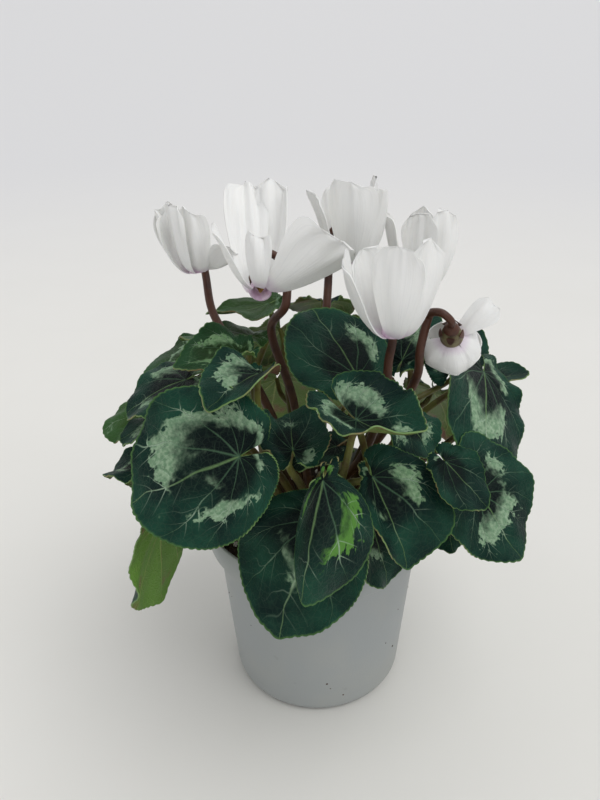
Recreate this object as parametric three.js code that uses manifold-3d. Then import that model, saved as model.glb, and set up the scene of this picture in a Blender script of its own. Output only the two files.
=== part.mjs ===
// A potted cyclamen: a tapered plastic pot filled with soil, a corm half sunk in it with a crown of
// leaf stalks, heart-shaped leaves with waved and toothed edges in a loose dome, and six white
// blooms with petals swept back over hooked flower stalks.
// Millimetres, +Z up. The origin is the centre of the pot's base, on the surface it stands on.
import * as THREE from "three";
import { mergeVertices } from "three/addons/utils/BufferGeometryUtils.js";
import Module from "manifold-3d";

const wasm = await Module();
wasm.setup();

// ---- Driving dimensions ----

const GAP = 0.3; // clearance between pieces that touch on the real plant
const POT_HEIGHT = 104;
const POT_BASE_RADIUS = 46;
const POT_NECK_RADIUS = 52; // the body just under the collar
const POT_COLLAR_RADIUS = 57;
const POT_RIM_RADIUS = 58.5;
const POT_COLLAR_START = 88;
const POT_WALL = 1.4;
const POT_FLOOR = 2;
const POT_BASE_ROUND = 6;
const POT_SIDES = 36;
const DRAIN_HOLES = 8;
const DRAIN_RADIUS = 4;
const DRAIN_CIRCLE = 34;
const DRAIN_SIDES = 8;
const COVE_HEIGHT = 3; // the body's curve out to the collar
const COVE_OUT = 1.5;
const COLLAR_EDGE = 0.8;

const SOIL_TOP = 93;
const SOIL_RIPPLE = 1.2;
const SOIL_RIPPLE_LENGTH = 5.5; // one ripple's length divided by two pi
const SOIL_RING = 12;
const CORM_RADIUS = 20;
const CORM_BOTTOM = 82;
const CORM_SIDES = 18;
const CORM_SHOULDER = 95;
const CROWN_TOP = 101;
const CROWN_RADIUS = 14; // the flat top that the flower stalks stand on

const BLADE_THICKNESS = 0.7;
const NOTCH_ANGLE = 13; // half the open angle between a leaf's two basal lobes, degrees
const LOBE_ROUND = 28; // the angle over which a lobe rounds off towards the notch, degrees
const EDGE_WAVES = 5;
const WAVE_STEP = 75; // how far the waves are turned from one leaf to the next, degrees
const TOOTH_DEPTH = 0.03; // share of the radius
const TIP_ANGLE = 16; // how broad the point at a leaf's tip is, degrees
const LOBE_CUT = 0.3; // how much of the radius a lobe loses as it rounds off
const FOLD_SOFTNESS = 0.06; // how soft the crease along the midrib is, as a share of the length
const INNER_RING = 0.4; // where the blade's rings of points lie between the stalk and the edge
const MIDDLE_RING = 0.75;
const BLADE_COLUMNS = 10;
const LEAF_STALK_FOOT = 2.1;
const LEAF_STALK_TIP = 1.2;
const LEAF_STALK_SIDES = 5;
const LEAF_STALK_STEPS = 4;
const STALK_SUNK = 5; // how far below the crown's top a leaf stalk starts
const STALK_SPREAD = 0.3; // how far out and up its middle lies, as shares of its reach
const STALK_RISE = 0.5;
const STALK_ARRIVAL = 9; // the straight stretch that meets the blade

const PETAL_THICKNESS = 0.7;
const PETAL_FOOT = 4.5; // width where the petal leaves the mouth
const PETAL_TURN = 20; // each petal lies over the next like the blades of a fan, degrees
const PETAL_WRAP = 0.35; // radius of the petal's cross-section, as a share of its length
const PETAL_FULLNESS = 1.15;
const PETAL_TAPER = 0.75; // how soon a petal widens above its foot
const PETAL_BLUNTNESS = 5;
const PETAL_ROWS = [0, 0.16, 0.45, 0.8]; // where its rows of points lie, as shares of its length
const PETAL_BELLY = 3; // how far its middle bulges outwards, unless its row says otherwise
const SMALL_STEP = 0.01;
const PETAL_ROOT = 0.9; // how far inside the mouth's edge a petal starts
const LIP_LENGTH = 3; // the stretch over which a petal turns back at the mouth
const LIP_OUT = 2.6;
const LIP_DOWN = 1.5;
const MOUTH_RADIUS = 4.8;
const TUBE_SIDES = 10;
const CALYX_SIDES = 6;
const TUBE_LENGTH = 6.5;
const CALYX_RADIUS = 3.4;
const CALYX_LENGTH = 4;
const HOOK_OUT = 11; // how far the stalk's hook stands out from the calyx, and how high
const HOOK_RISE = 10.5;
const FLOWER_STALK_FOOT = 2.2;
const FLOWER_STALK_TIP = 1.5;
const FLOWER_STALK_SIDES = 6;
const FLOWER_STALK_STEPS = 14;
const FOOT_STRAIGHT = 12; // a flower stalk stands upright on the crown for this far

const COLOUR = {
  pot: 0x8e9494,
  soil: 0x2e241c,
  stems: 0x6a5030,
  leaf: 0x1f4034,
  petal: 0xf4f3f2,
  flowerStalk: 0x5a3326,
};

// ---- Leaves: one row each, placed by eye ----
// at: where the leaf stalk meets the blade. tip: the far end of the midrib. roll: degrees round it.
// halfWidth, lobe, skew: half width, basal lobe and lopsidedness as shares of the length.
// point: how far the tip stands out of the heart, as a share of the length.
// bend and fold: along the midrib, degrees. droop: how far the sides hang. twist: degrees.
// wave: height of the edge waves.
const USUAL_LEAF = {
  halfWidth: 0.6,
  lobe: 0.42,
  skew: 0,
  point: 0.1,
  bend: 20,
  fold: 6,
  droop: 0.14,
  twist: 0,
  wave: 1.8,
};
const LEAVES = [
  // front, from left to right
  { at: [-30, -75, 181], tip: [-78, -67, 153], roll: -55,
    halfWidth: 0.55, lobe: 0.34, skew: -0.08, bend: 15 },
  { at: [0, -68, 146], tip: [-17, -84, 95], roll: -30, halfWidth: 0.47, lobe: 0.26, point: 0.2 },
  { at: [2, -94, 183], tip: [-6, -108, 134], roll: -10,
    halfWidth: 0.2, lobe: 0.25, skew: 0.5, point: 0.15, fold: -52, droop: 0, wave: 1 },
  { at: [22, -67, 166], tip: [38, -82, 128], roll: 10,
    halfWidth: 0.4, lobe: 0.34, skew: 0.45, point: 0.25, fold: 20, droop: 0 },
  { at: [22, -54, 136], tip: [32, -66, 106], roll: -10, halfWidth: 0.5 },
  // right
  { at: [81, 10, 175], tip: [71, -34, 144], roll: -50, halfWidth: 0.5, lobe: 0.4, bend: 30 },
  { at: [71, -48, 144], tip: [88, -58, 116], roll: 20, halfWidth: 0.85, lobe: 0.9, skew: 0.1 },
  { at: [52, -62, 170], tip: [69, -71, 153], roll: 20, halfWidth: 0.5, point: 0.2, bend: 10 },
  // centre
  { at: [15, -66, 192], tip: [38, -84, 199], roll: 0,
    halfWidth: 0.85, lobe: 0.9, bend: -50, fold: 25, droop: 0 },
  { at: [17, -26, 191], tip: [-3, 4, 212], roll: 0, halfWidth: 0.56, lobe: 0.3, skew: 0.1, bend: 10 },
  { at: [22, 2, 179], tip: [24, 30, 194], roll: -10, halfWidth: 0.35 },
  { at: [41, 9, 182], tip: [57, 33, 198], roll: -10, halfWidth: 0.34 },
  { at: [70, 36, 163], tip: [81, 60, 179], roll: 0, halfWidth: 0.5 },
  { at: [84, 36, 153], tip: [110, 31, 165], roll: 0,
    halfWidth: 0.4, via: [[50, 20, 112], [82, 28, 136]] },
  // upper left
  { at: [-24, 24, 205], tip: [-53, 14, 204], roll: 0, halfWidth: 0.5, bend: -20, twist: 20 },
  { at: [-34, -24, 201], tip: [-61, -36, 198], roll: -10,
    halfWidth: 0.5, point: 0.2, fold: 40, twist: -20, wave: 2 },
  { at: [-24, -46, 202], tip: [-42, -74, 200], roll: 0,
    halfWidth: 0.46, lobe: 0.2, point: 0.2, bend: 25, fold: 35, wave: 2.4 },
  { at: [-10, -64, 177], tip: [-12, -40, 181], roll: 10, halfWidth: 0.7, lobe: 0.5, fold: 25, wave: 2.4 },
  // left
  { at: [-57, -30, 191], tip: [-86, -30, 175], roll: -10 },
  { at: [-32, 10, 194], tip: [-66, 14, 190], roll: 10, halfWidth: 0.45 },
  { at: [-55, 16, 183], tip: [-86, 14, 170], roll: -10, halfWidth: 0.5 },
  { at: [-79, -8, 165], tip: [-103, -8, 151], roll: -10, halfWidth: 0.55 },
  { at: [-67, -34, 173], tip: [-88, -34, 163], roll: 0, halfWidth: 0.5 },
  { at: [-73, -44, 158], tip: [-94, -40, 150], roll: 0, halfWidth: 0.5 },
  { at: [-68, -56, 136], tip: [-74, -54, 86], roll: 0, halfWidth: 0.42, bend: 5 },
  // deep between the others
  { at: [58, -38, 130], tip: [61, -49, 112], roll: 0, halfWidth: 0.45 },
  { at: [38, -40, 177], tip: [48, -52, 164], roll: 0, halfWidth: 0.7, lobe: 0.3 },
  { at: [8, -44, 166], tip: [-12, -50, 160], roll: 0, halfWidth: 0.55 },
  // round the back, upper ones first
  { at: [3, 36, 202], tip: [3, 68, 178], roll: 0, halfWidth: 0.38, lobe: 0.3 },
  { at: [-20, 52, 180], tip: [-31, 80, 138], roll: 0, halfWidth: 0.48 },
  { at: [30, 56, 178], tip: [42, 84, 136], roll: 0, halfWidth: 0.48 },
  { at: [-58, 38, 172], tip: [-84, 52, 144], roll: 0, halfWidth: 0.5 },
  { at: [64, 50, 144], tip: [80, 66, 102], roll: 0, halfWidth: 0.46, lobe: 0.3 },
  { at: [24, 74, 138], tip: [30, 94, 90], roll: 0, halfWidth: 0.46 },
  { at: [-24, 76, 138], tip: [-30, 96, 90], roll: 0, halfWidth: 0.46 },
  { at: [-66, 54, 146], tip: [-82, 66, 106], roll: 0, halfWidth: 0.5 },
  { at: [-82, 10, 146], tip: [-98, 12, 108], roll: 0, halfWidth: 0.5 },
  { at: [84, 10, 136], tip: [100, 12, 98], roll: 0, halfWidth: 0.5 },
].map((row, i) => ({ ...USUAL_LEAF, waveStart: WAVE_STEP * i, ...row }));

// ---- Blooms: one row each, from left to right, the nodding half-open one last ----
// mouth: centre of the mouth. axis: heading and lean from upright of the line the petals rise along,
// degrees. stalkSide: the side that the flower stalk hooks down on, degrees round that line.
// petals: side, outward lean (degrees), length, width and any bulge of each petal.
// via: where the flower stalk passes on its way down. foot: where it stands on the crown.
// nodding: the petals still point down, so the tube lies above the mouth.
const BLOOMS = [
  {
    mouth: [-53, 4, 229],
    axis: [150, 10],
    stalkSide: 88,
    petals: [
      [190, 4, 31, 18],
      [148, 3, 31, 18],
      [235, -4, 31, 17],
      [285, 0, 30, 16],
      [342, 60, 15, 22, 0],
    ],
    via: [[-48, 1, 211], [-40, -9, 200], [-26, -6, 170]],
    foot: [-9, 2],
  },
  {
    mouth: [-24, -20, 228],
    axis: [90, 40],
    stalkSide: 14,
    petals: [
      [268, 20, 22, 14],
      [324, 66, 34, 34, 1],
      [72, 4, 57, 26],
      [122, 5, 60, 22],
      [206, 28, 28, 17, 1],
    ],
    via: [[-21, -5, 204], [-12, 2, 165]],
    foot: [-4, -7],
  },
  {
    mouth: [15, 14, 229],
    axis: [100, 10],
    stalkSide: 156,
    petals: [
      [212, 15, 36, 22],
      [268, 2, 38, 26],
      [326, 6, 37, 22],
      [24, 4, 36, 20],
      [104, 4, 36, 20],
    ],
    via: [[4, 8, 205], [2, 5, 150]],
    foot: [2, 8],
  },
  {
    mouth: [49, 22, 214],
    axis: [90, 13],
    stalkSide: 138,
    petals: [
      [196, 13, 36, 22],
      [250, 2, 38, 22],
      [325, 4, 38, 22],
      [20, 2, 37, 20],
      [84, 4, 36, 20],
    ],
    via: [[37, 35, 193], [27, 24, 155]],
    foot: [8, 5],
  },
  {
    mouth: [30, -44, 218],
    axis: [90, 12],
    stalkSide: 85,
    petals: [
      [202, 23, 35, 26],
      [265, 2, 38, 24],
      [332, 8, 37, 23],
      [25, 3, 36, 20],
      [148, 5, 34, 20],
    ],
    via: [[30, -33, 203], [29, -30, 182], [20, -22, 145]],
    foot: [5, -6],
  },
  {
    mouth: [56, -30, 211],
    axis: [75, 140],
    stalkSide: 190,
    nodding: true,
    petals: [
      [300, 106, 15, 14, 0],
      [350, -12, 22, 26, 7],
      [60, -12, 22, 26, 7],
      [125, -12, 22, 26, 7],
      [262, -12, 22, 26, 7],
    ],
    via: [[43, -32, 207], [43, -28, 192], [30, -16, 155]],
    foot: [10, -2],
  },
];

const radians = THREE.MathUtils.degToRad;

// ---- Small helpers: closed meshes, joins and cuts ----

function geometryOf(points, triangles) {
  const geometry = new THREE.BufferGeometry();
  const numbers = points.flatMap((p) => p.toArray());
  geometry.setAttribute("position", new THREE.Float32BufferAttribute(numbers, 3));
  geometry.setIndex(triangles.flat());
  return geometry;
}

function solidOf(geometry) {
  const bare = new THREE.BufferGeometry();
  bare.setAttribute("position", geometry.getAttribute("position"));
  bare.setIndex(geometry.index);
  const merged = mergeVertices(bare, 1e-4);
  return new wasm.Manifold(
    new wasm.Mesh({
      numProp: 3,
      vertProperties: new Float32Array(merged.attributes.position.array),
      triVerts: new Uint32Array(merged.index.array),
    }),
  );
}

function geometryOfSolid(solid) {
  const mesh = solid.getMesh();
  const geometry = new THREE.BufferGeometry();
  geometry.setAttribute("position", new THREE.BufferAttribute(new Float32Array(mesh.vertProperties), 3));
  geometry.setIndex(new THREE.BufferAttribute(new Uint32Array(mesh.triVerts), 1));
  return geometry;
}

function joined(geometries) {
  const solids = geometries.map(solidOf);
  return geometryOfSolid(solids.reduce((sum, solid) => sum.add(solid)));
}

function cut(geometry, tools) {
  const solid = tools.reduce((left, tool) => left.subtract(solidOf(tool)), solidOf(geometry));
  return geometryOfSolid(solid);
}

// Turns a thin surface into a closed solid: the same triangles on both faces and a wall round the rim.
function slab(points, triangles, thickness) {
  const normals = points.map(() => new THREE.Vector3());
  for (const [a, b, c] of triangles) {
    const ab = points[b].clone().sub(points[a]);
    const ac = points[c].clone().sub(points[a]);
    const normal = ab.cross(ac);
    for (const corner of [a, b, c]) normals[corner].add(normal);
  }
  const half = thickness / 2;
  const upper = points.map((p, i) => p.clone().addScaledVector(normals[i].normalize(), half));
  const lower = points.map((p, i) => p.clone().addScaledVector(normals[i], -half));
  const count = points.length;
  const faces = triangles.map((t) => [...t]);
  const edges = new Set();
  for (const [a, b, c] of triangles) {
    faces.push([c + count, b + count, a + count]);
    for (const [from, to] of [[a, b], [b, c], [c, a]]) edges.add(`${from},${to}`);
  }
  for (const edge of edges) {
    const [from, to] = edge.split(",").map(Number);
    if (edges.has(`${to},${from}`)) continue;
    faces.push([from + count, to + count, to]);
    faces.push([from + count, to, from]);
  }
  return geometryOf([...upper, ...lower], faces);
}

// A tapered stem along a curve, closed at both ends.
function stem(curve, steps, sides, radiusAt) {
  const frames = curve.computeFrenetFrames(steps, false);
  const points = [];
  const faces = [];
  for (let i = 0; i <= steps; i++) {
    const centre = curve.getPointAt(i / steps);
    const radius = radiusAt(i / steps);
    for (let j = 0; j < sides; j++) {
      const angle = (2 * Math.PI * j) / sides;
      const out = frames.normals[i].clone().multiplyScalar(Math.cos(angle) * radius);
      out.addScaledVector(frames.binormals[i], Math.sin(angle) * radius);
      points.push(centre.clone().add(out));
    }
  }
  for (let i = 0; i < steps; i++) {
    for (let j = 0; j < sides; j++) {
      const a = i * sides + j;
      const b = i * sides + ((j + 1) % sides);
      faces.push([a, b, b + sides]);
      faces.push([a, b + sides, a + sides]);
    }
  }
  const last = steps * sides;
  for (let j = 1; j < sides - 1; j++) {
    faces.push([0, j + 1, j]);
    faces.push([last, last + j, last + j + 1]);
  }
  return geometryOf(points, faces);
}

// ---- Pot, soil and corm ----

function lathed(profile, sides) {
  const geometry = new THREE.LatheGeometry(profile.map(([r, z]) => new THREE.Vector2(r, z)), sides);
  geometry.rotateX(Math.PI / 2); // the lathe's axis is Y; this stands it on +Z
  return geometry;
}

function arc(centreR, centreZ, radius, fromDegrees, toDegrees, steps) {
  const points = [];
  for (let i = 0; i <= steps; i++) {
    const angle = radians(fromDegrees + ((toDegrees - fromDegrees) * i) / steps);
    points.push([centreR + radius * Math.cos(angle), centreZ + radius * Math.sin(angle)]);
  }
  return points;
}

function potGeometry() {
  const innerNeck = POT_NECK_RADIUS - POT_WALL;
  const profile = [
    [0, 0],
    ...arc(POT_BASE_RADIUS - POT_BASE_ROUND, POT_BASE_ROUND, POT_BASE_ROUND, -90, 0, 4),
    [POT_NECK_RADIUS, POT_COLLAR_START - COVE_HEIGHT],
    [POT_NECK_RADIUS + COVE_OUT, POT_COLLAR_START - COLLAR_EDGE],
    [POT_COLLAR_RADIUS - COLLAR_EDGE, POT_COLLAR_START],
    [POT_COLLAR_RADIUS, POT_COLLAR_START + COLLAR_EDGE],
    [POT_RIM_RADIUS, POT_HEIGHT - COLLAR_EDGE],
    [POT_RIM_RADIUS - COLLAR_EDGE / 2, POT_HEIGHT],
    [POT_RIM_RADIUS - POT_WALL, POT_HEIGHT - COLLAR_EDGE / 2],
    [POT_COLLAR_RADIUS - POT_WALL, POT_COLLAR_START + COVE_HEIGHT],
    [innerNeck, POT_COLLAR_START],
    [POT_BASE_RADIUS - POT_WALL, POT_FLOOR + POT_BASE_ROUND],
    [POT_BASE_RADIUS - POT_BASE_ROUND, POT_FLOOR],
    [0, POT_FLOOR],
  ];
  const drains = [];
  for (let i = 0; i < DRAIN_HOLES; i++) {
    const drain = new THREE.CylinderGeometry(DRAIN_RADIUS, DRAIN_RADIUS, 4 * POT_FLOOR, DRAIN_SIDES);
    drain.rotateX(Math.PI / 2);
    const angle = (2 * Math.PI * (i + 0.5)) / DRAIN_HOLES;
    drain.translate(DRAIN_CIRCLE * Math.cos(angle), DRAIN_CIRCLE * Math.sin(angle), 0);
    drains.push(drain);
  }
  return cut(lathed(profile, POT_SIDES), drains);
}

function cormProfile(grow) {
  return [
    [0, CORM_BOTTOM - grow],
    [CORM_RADIUS * 0.6, CORM_BOTTOM + 2 - grow],
    [CORM_RADIUS * 0.93 + grow, CORM_BOTTOM + 6],
    [CORM_RADIUS + grow, CORM_SHOULDER - 4],
    [CORM_RADIUS * 0.95 + grow, CORM_SHOULDER],
    [CROWN_RADIUS + grow, CROWN_TOP + grow],
    [0, CROWN_TOP + grow],
  ];
}

function soilGeometry() {
  const clear = POT_WALL + GAP;
  const profile = [
    [0, POT_FLOOR + GAP],
    [POT_BASE_RADIUS - POT_BASE_ROUND - GAP, POT_FLOOR + GAP],
    [POT_BASE_RADIUS - clear, POT_FLOOR + POT_BASE_ROUND + GAP],
    [POT_NECK_RADIUS - clear, POT_COLLAR_START],
    [POT_COLLAR_RADIUS - clear - GAP, SOIL_TOP],
    [POT_COLLAR_RADIUS - SOIL_RING, SOIL_TOP],
    [POT_COLLAR_RADIUS - 2 * SOIL_RING, SOIL_TOP],
    [0, SOIL_TOP],
  ];
  const geometry = lathed(profile, POT_SIDES / 2);
  const position = geometry.getAttribute("position");
  for (let i = 0; i < position.count; i++) {
    if (position.getZ(i) < SOIL_TOP - GAP) continue;
    const x = position.getX(i) / SOIL_RIPPLE_LENGTH;
    const y = position.getY(i) / SOIL_RIPPLE_LENGTH;
    position.setZ(i, SOIL_TOP + SOIL_RIPPLE * Math.sin(x) * Math.cos(y));
  }
  return cut(geometry, [lathed(cormProfile(GAP + 0.1), CORM_SIDES)]);
}

// ---- Leaves ----

// The midrib is an arc from the stalk's end to the tip. The frame is the blade's at the stalk's end.
function leafFrame(leaf) {
  const at = new THREE.Vector3(...leaf.at);
  const chord = new THREE.Vector3(...leaf.tip).sub(at);
  const bend = radians(leaf.bend);
  const length = (chord.length() * (bend / 2)) / Math.sin(bend / 2);
  const straight = chord.normalize();
  const level = new THREE.Vector3(0, 0, 1).cross(straight).normalize();
  const upright = straight.clone().cross(level);
  const roll = radians(leaf.roll);
  const side = level.multiplyScalar(Math.cos(roll)).addScaledVector(upright, Math.sin(roll));
  const facing = straight.clone().cross(side);
  const along = straight.clone().multiplyScalar(Math.cos(bend / 2));
  along.addScaledVector(facing, Math.sin(bend / 2));
  return { at, along, side, up: along.clone().cross(side), length, bend };
}

// The leaf's outline: its radius round the stalk's end, as a share of its length. Angle 0 is the tip.
function outlineRadius(angle, leaf) {
  const middle = (1 + leaf.lobe) / 2;
  const round = (middle + leaf.halfWidth) / 2;
  const narrow = (middle - leaf.halfWidth) / 2;
  const tip = leaf.point * Math.exp(-Math.abs(angle) / radians(TIP_ANGLE));
  const taper = ((1 - leaf.lobe) / 2) * Math.cos(angle);
  const heart = round + taper + narrow * Math.cos(2 * angle) + tip;
  const edge = Math.PI - radians(NOTCH_ANGLE + LOBE_ROUND);
  const corner = THREE.MathUtils.clamp((Math.abs(angle) - edge) / radians(LOBE_ROUND), 0, 1);
  const rounded = heart * (1 - LOBE_CUT * corner ** 2);
  return (rounded * (1 + leaf.skew * Math.sin(angle))) / (1 + leaf.point);
}

// A point of the blade's middle surface: share is 0 at the stalk and 1 at the edge.
function bladePoint(leaf, frame, share, angle) {
  const { length, bend } = frame;
  const radius = share * outlineRadius(angle, leaf) * length;
  const u = radius * Math.cos(angle);
  const v = radius * Math.sin(angle);
  const soft = FOLD_SOFTNESS * length;
  const fold = radians(leaf.fold);
  const waved = leaf.wave * share ** 2 * Math.sin(EDGE_WAVES * angle + radians(leaf.waveStart));
  const flatAcross = v * Math.cos(fold);
  const folded = (Math.hypot(v, soft) - soft) * Math.sin(fold);
  const flatUp = folded - (leaf.droop * v * v) / length + waved;
  const turn = (radians(leaf.twist) * u) / length;
  const across = flatAcross * Math.cos(turn) - flatUp * Math.sin(turn);
  const up = flatAcross * Math.sin(turn) + flatUp * Math.cos(turn);
  const curve = bend / length;
  const bent = curve * u;
  return frame.at
    .clone()
    .addScaledVector(frame.along, Math.sin(bent) / curve + up * Math.sin(bent))
    .addScaledVector(frame.side, across)
    .addScaledVector(frame.up, up * Math.cos(bent) - (1 - Math.cos(bent)) / curve);
}

// Rings of points round the stalk's end. Every second point of the outer ring is a gap between teeth.
function bladeGeometry(leaf) {
  const frame = leafFrame(leaf);
  const columns = BLADE_COLUMNS;
  const widest = Math.PI - radians(NOTCH_ANGLE);
  const points = [bladePoint(leaf, frame, 0, 0)];
  const ring = (share, count, tooth) => {
    const first = points.length;
    for (let j = 0; j <= count; j++) {
      const angle = widest * ((2 * j) / count - 1);
      points.push(bladePoint(leaf, frame, j % 2 ? share - tooth : share, angle));
    }
    return first;
  };
  const inner = ring(INNER_RING, columns, 0);
  const middle = ring(MIDDLE_RING, columns, 0);
  const edge = ring(1, 2 * columns, TOOTH_DEPTH);
  const triangles = [];
  for (let j = 0; j < columns; j++) {
    triangles.push([0, inner + j, inner + j + 1]);
    triangles.push([inner + j, middle + j, middle + j + 1]);
    triangles.push([inner + j, middle + j + 1, inner + j + 1]);
    triangles.push([middle + j, edge + 2 * j, edge + 2 * j + 1]);
    triangles.push([middle + j, edge + 2 * j + 1, middle + j + 1]);
    triangles.push([middle + j + 1, edge + 2 * j + 1, edge + 2 * j + 2]);
  }
  return slab(points, triangles, BLADE_THICKNESS);
}

// The stalk leaves the crown's shoulder on the leaf's side, passes any point that the row gives to
// clear its neighbours, and meets the blade square from below.
function leafStalk(leaf, index) {
  const frame = leafFrame(leaf);
  const bearing = Math.atan2(leaf.at[1], leaf.at[0]);
  const footRadius = CROWN_RADIUS + (index % 3) - 1;
  const outward = new THREE.Vector3(Math.cos(bearing), Math.sin(bearing), 0);
  const foot = outward.clone().multiplyScalar(footRadius).setZ(CROWN_TOP - STALK_SUNK);
  const crease = Math.max(0, -Math.sin(radians(leaf.fold))) * LEAF_STALK_TIP;
  const end = frame.at.clone().addScaledVector(frame.up, -BLADE_THICKNESS / 2 - GAP - crease);
  const reach = foot.distanceTo(end);
  const rise = foot.clone().addScaledVector(outward, STALK_SPREAD * reach);
  rise.z += STALK_RISE * reach;
  const arrive = end.clone().addScaledVector(frame.up, -STALK_ARRIVAL);
  const middle = leaf.via ? leaf.via.map((p) => new THREE.Vector3(...p)) : [rise];
  const curve = new THREE.CatmullRomCurve3([foot, ...middle, arrive, end]);
  const radiusAt = (t) => THREE.MathUtils.lerp(LEAF_STALK_FOOT, LEAF_STALK_TIP, t);
  return stem(curve, LEAF_STALK_STEPS, LEAF_STALK_SIDES, radiusAt);
}

// ---- Blooms ----

function bloomFrame(bloom) {
  const [heading, lean] = bloom.axis.map(radians);
  const hinge = new THREE.Vector3(-Math.sin(heading), Math.cos(heading), 0);
  const turn = new THREE.Quaternion().setFromAxisAngle(hinge, lean);
  return new THREE.Matrix4().compose(new THREE.Vector3(...bloom.mouth), turn, new THREE.Vector3(1, 1, 1));
}

// A petal leaves the mouth outwards, turns up within its first few millimetres and then leans out.
// Its cross-section wraps round the flower.
function petalGeometry([side, lean, length, width, bulge = PETAL_BELLY]) {
  const across = [-1, 0, 1];
  const outward = new THREE.Vector3(Math.cos(radians(side)), Math.sin(radians(side)), 0);
  const level = new THREE.Vector3(-outward.y, outward.x, 0);
  const turn = radians(PETAL_TURN);
  const wrap = 2 * (PETAL_WRAP * length + MOUTH_RADIUS);
  const centre = (share) => {
    const s = share * length;
    const lip = 1 - Math.exp(-s / LIP_LENGTH);
    const leant = s * Math.sin(radians(lean)) + bulge * Math.sin(Math.PI * share);
    const out = MOUTH_RADIUS - PETAL_ROOT + LIP_OUT * lip + leant;
    return outward.clone().multiplyScalar(out).setZ(s * Math.cos(radians(lean)) - LIP_DOWN * lip);
  };
  const pointAt = (share, cross) => {
    const rounded = share ** PETAL_TAPER * Math.sqrt(1 - share ** PETAL_BLUNTNESS);
    const broad = (width / 2) * PETAL_FULLNESS * rounded;
    const half = (PETAL_FOOT / 2) * (1 - share) + broad;
    const ahead = centre(share + SMALL_STEP).sub(centre(share)).normalize();
    const normal = level.clone().cross(ahead).normalize();
    const y = cross * half;
    const z = (-y * y) / wrap;
    const flat = y * Math.cos(turn) - z * Math.sin(turn);
    const up = y * Math.sin(turn) + z * Math.cos(turn);
    return centre(share).addScaledVector(level, flat).addScaledVector(normal, up);
  };
  const points = PETAL_ROWS.flatMap((share) => across.map((cross) => pointAt(share, cross)));
  points.push(pointAt(1, 0));
  const wide = across.length;
  const tip = points.length - 1;
  const triangles = [];
  for (let i = 0; i < PETAL_ROWS.length - 1; i++) {
    for (let j = 0; j < wide - 1; j++) {
      const a = i * wide + j;
      triangles.push([a, a + 1, a + wide + 1]);
      triangles.push([a, a + wide + 1, a + wide]);
    }
  }
  const last = (PETAL_ROWS.length - 1) * wide;
  for (let j = 0; j < wide - 1; j++) triangles.push([last + j, last + j + 1, tip]);
  return slab(points, triangles, PETAL_THICKNESS);
}

function corollaGeometry(bloom) {
  const tube = lathed(
    [
      [0, TUBE_LENGTH - 2.2],
      [2.6, TUBE_LENGTH - 3],
      [MOUTH_RADIUS - 1.5, 0.6],
      [MOUTH_RADIUS - 0.8, -0.6],
      [MOUTH_RADIUS, 0.2],
      [MOUTH_RADIUS - 0.5, TUBE_LENGTH - 2],
      [2.8, TUBE_LENGTH],
      [0, TUBE_LENGTH],
    ],
    TUBE_SIDES,
  );
  if (bloom.nodding) tube.rotateX(Math.PI);
  const geometry = joined([tube, ...bloom.petals.map(petalGeometry)]);
  return geometry.applyMatrix4(bloomFrame(bloom));
}

// The stalk hooks over from the calyx and comes down beside the flower, then runs to the crown.
function flowerStalkGeometry(bloom) {
  const rear = bloom.nodding ? -1 : 1;
  const frame = bloomFrame(bloom);
  const side = radians(bloom.stalkSide);
  const calyx = lathed(
    [
      [0, TUBE_LENGTH + GAP],
      [0.9 * CALYX_RADIUS, TUBE_LENGTH + GAP],
      [CALYX_RADIUS, TUBE_LENGTH + 0.4 * CALYX_LENGTH],
      [FLOWER_STALK_TIP, TUBE_LENGTH + CALYX_LENGTH],
      [0, TUBE_LENGTH + CALYX_LENGTH],
    ],
    CALYX_SIDES,
  );
  if (bloom.nodding) calyx.rotateX(Math.PI);
  calyx.applyMatrix4(frame);
  const hook = [
    [0, TUBE_LENGTH + 0.3 * HOOK_RISE],
    [0, TUBE_LENGTH + 0.75 * HOOK_RISE],
    [0.37 * HOOK_OUT, TUBE_LENGTH + HOOK_RISE],
    [0.8 * HOOK_OUT, TUBE_LENGTH + 0.67 * HOOK_RISE],
    [HOOK_OUT, TUBE_LENGTH + 0.1 * HOOK_RISE],
    [HOOK_OUT, -MOUTH_RADIUS],
  ];
  if (bloom.nodding) hook.pop();
  const over = hook.map(([out, back]) => {
    const point = new THREE.Vector3(out * Math.cos(side), out * Math.sin(side), rear * back);
    return point.applyMatrix4(frame);
  });
  const way = bloom.via.map((p) => new THREE.Vector3(...p));
  const foot = new THREE.Vector3(...bloom.foot, CROWN_TOP + GAP);
  const upright = foot.clone().setZ(foot.z + FOOT_STRAIGHT);
  const curve = new THREE.CatmullRomCurve3([...over, ...way, upright, foot]);
  const radiusAt = (t) => THREE.MathUtils.lerp(FLOWER_STALK_TIP, FLOWER_STALK_FOOT, t);
  return joined([calyx, stem(curve, FLOWER_STALK_STEPS, FLOWER_STALK_SIDES, radiusAt)]);
}

// ---- The object ----

const group = new THREE.Group();
function add(name, geometry, colour, roughness) {
  const material = new THREE.MeshStandardMaterial({ color: colour, roughness, metalness: 0 });
  const mesh = new THREE.Mesh(geometry, material);
  mesh.name = name;
  group.add(mesh);
}

const crown = lathed(cormProfile(0), CORM_SIDES);
add("pot", potGeometry(), COLOUR.pot, 0.5);
add("soil", soilGeometry(), COLOUR.soil, 1);
add("crown_and_leaf_stalks", joined([crown, ...LEAVES.map(leafStalk)]), COLOUR.stems, 0.6);
LEAVES.forEach((leaf, i) => {
  add(`leaf_${String(i + 1).padStart(2, "0")}`, bladeGeometry(leaf), COLOUR.leaf, 0.5);
});
BLOOMS.forEach((bloom, i) => {
  add(`bloom_${i + 1}`, corollaGeometry(bloom), COLOUR.petal, 0.5);
  add(`flower_stalk_${i + 1}`, flowerStalkGeometry(bloom), COLOUR.flowerStalk, 0.5);
});

export default group;
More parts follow.
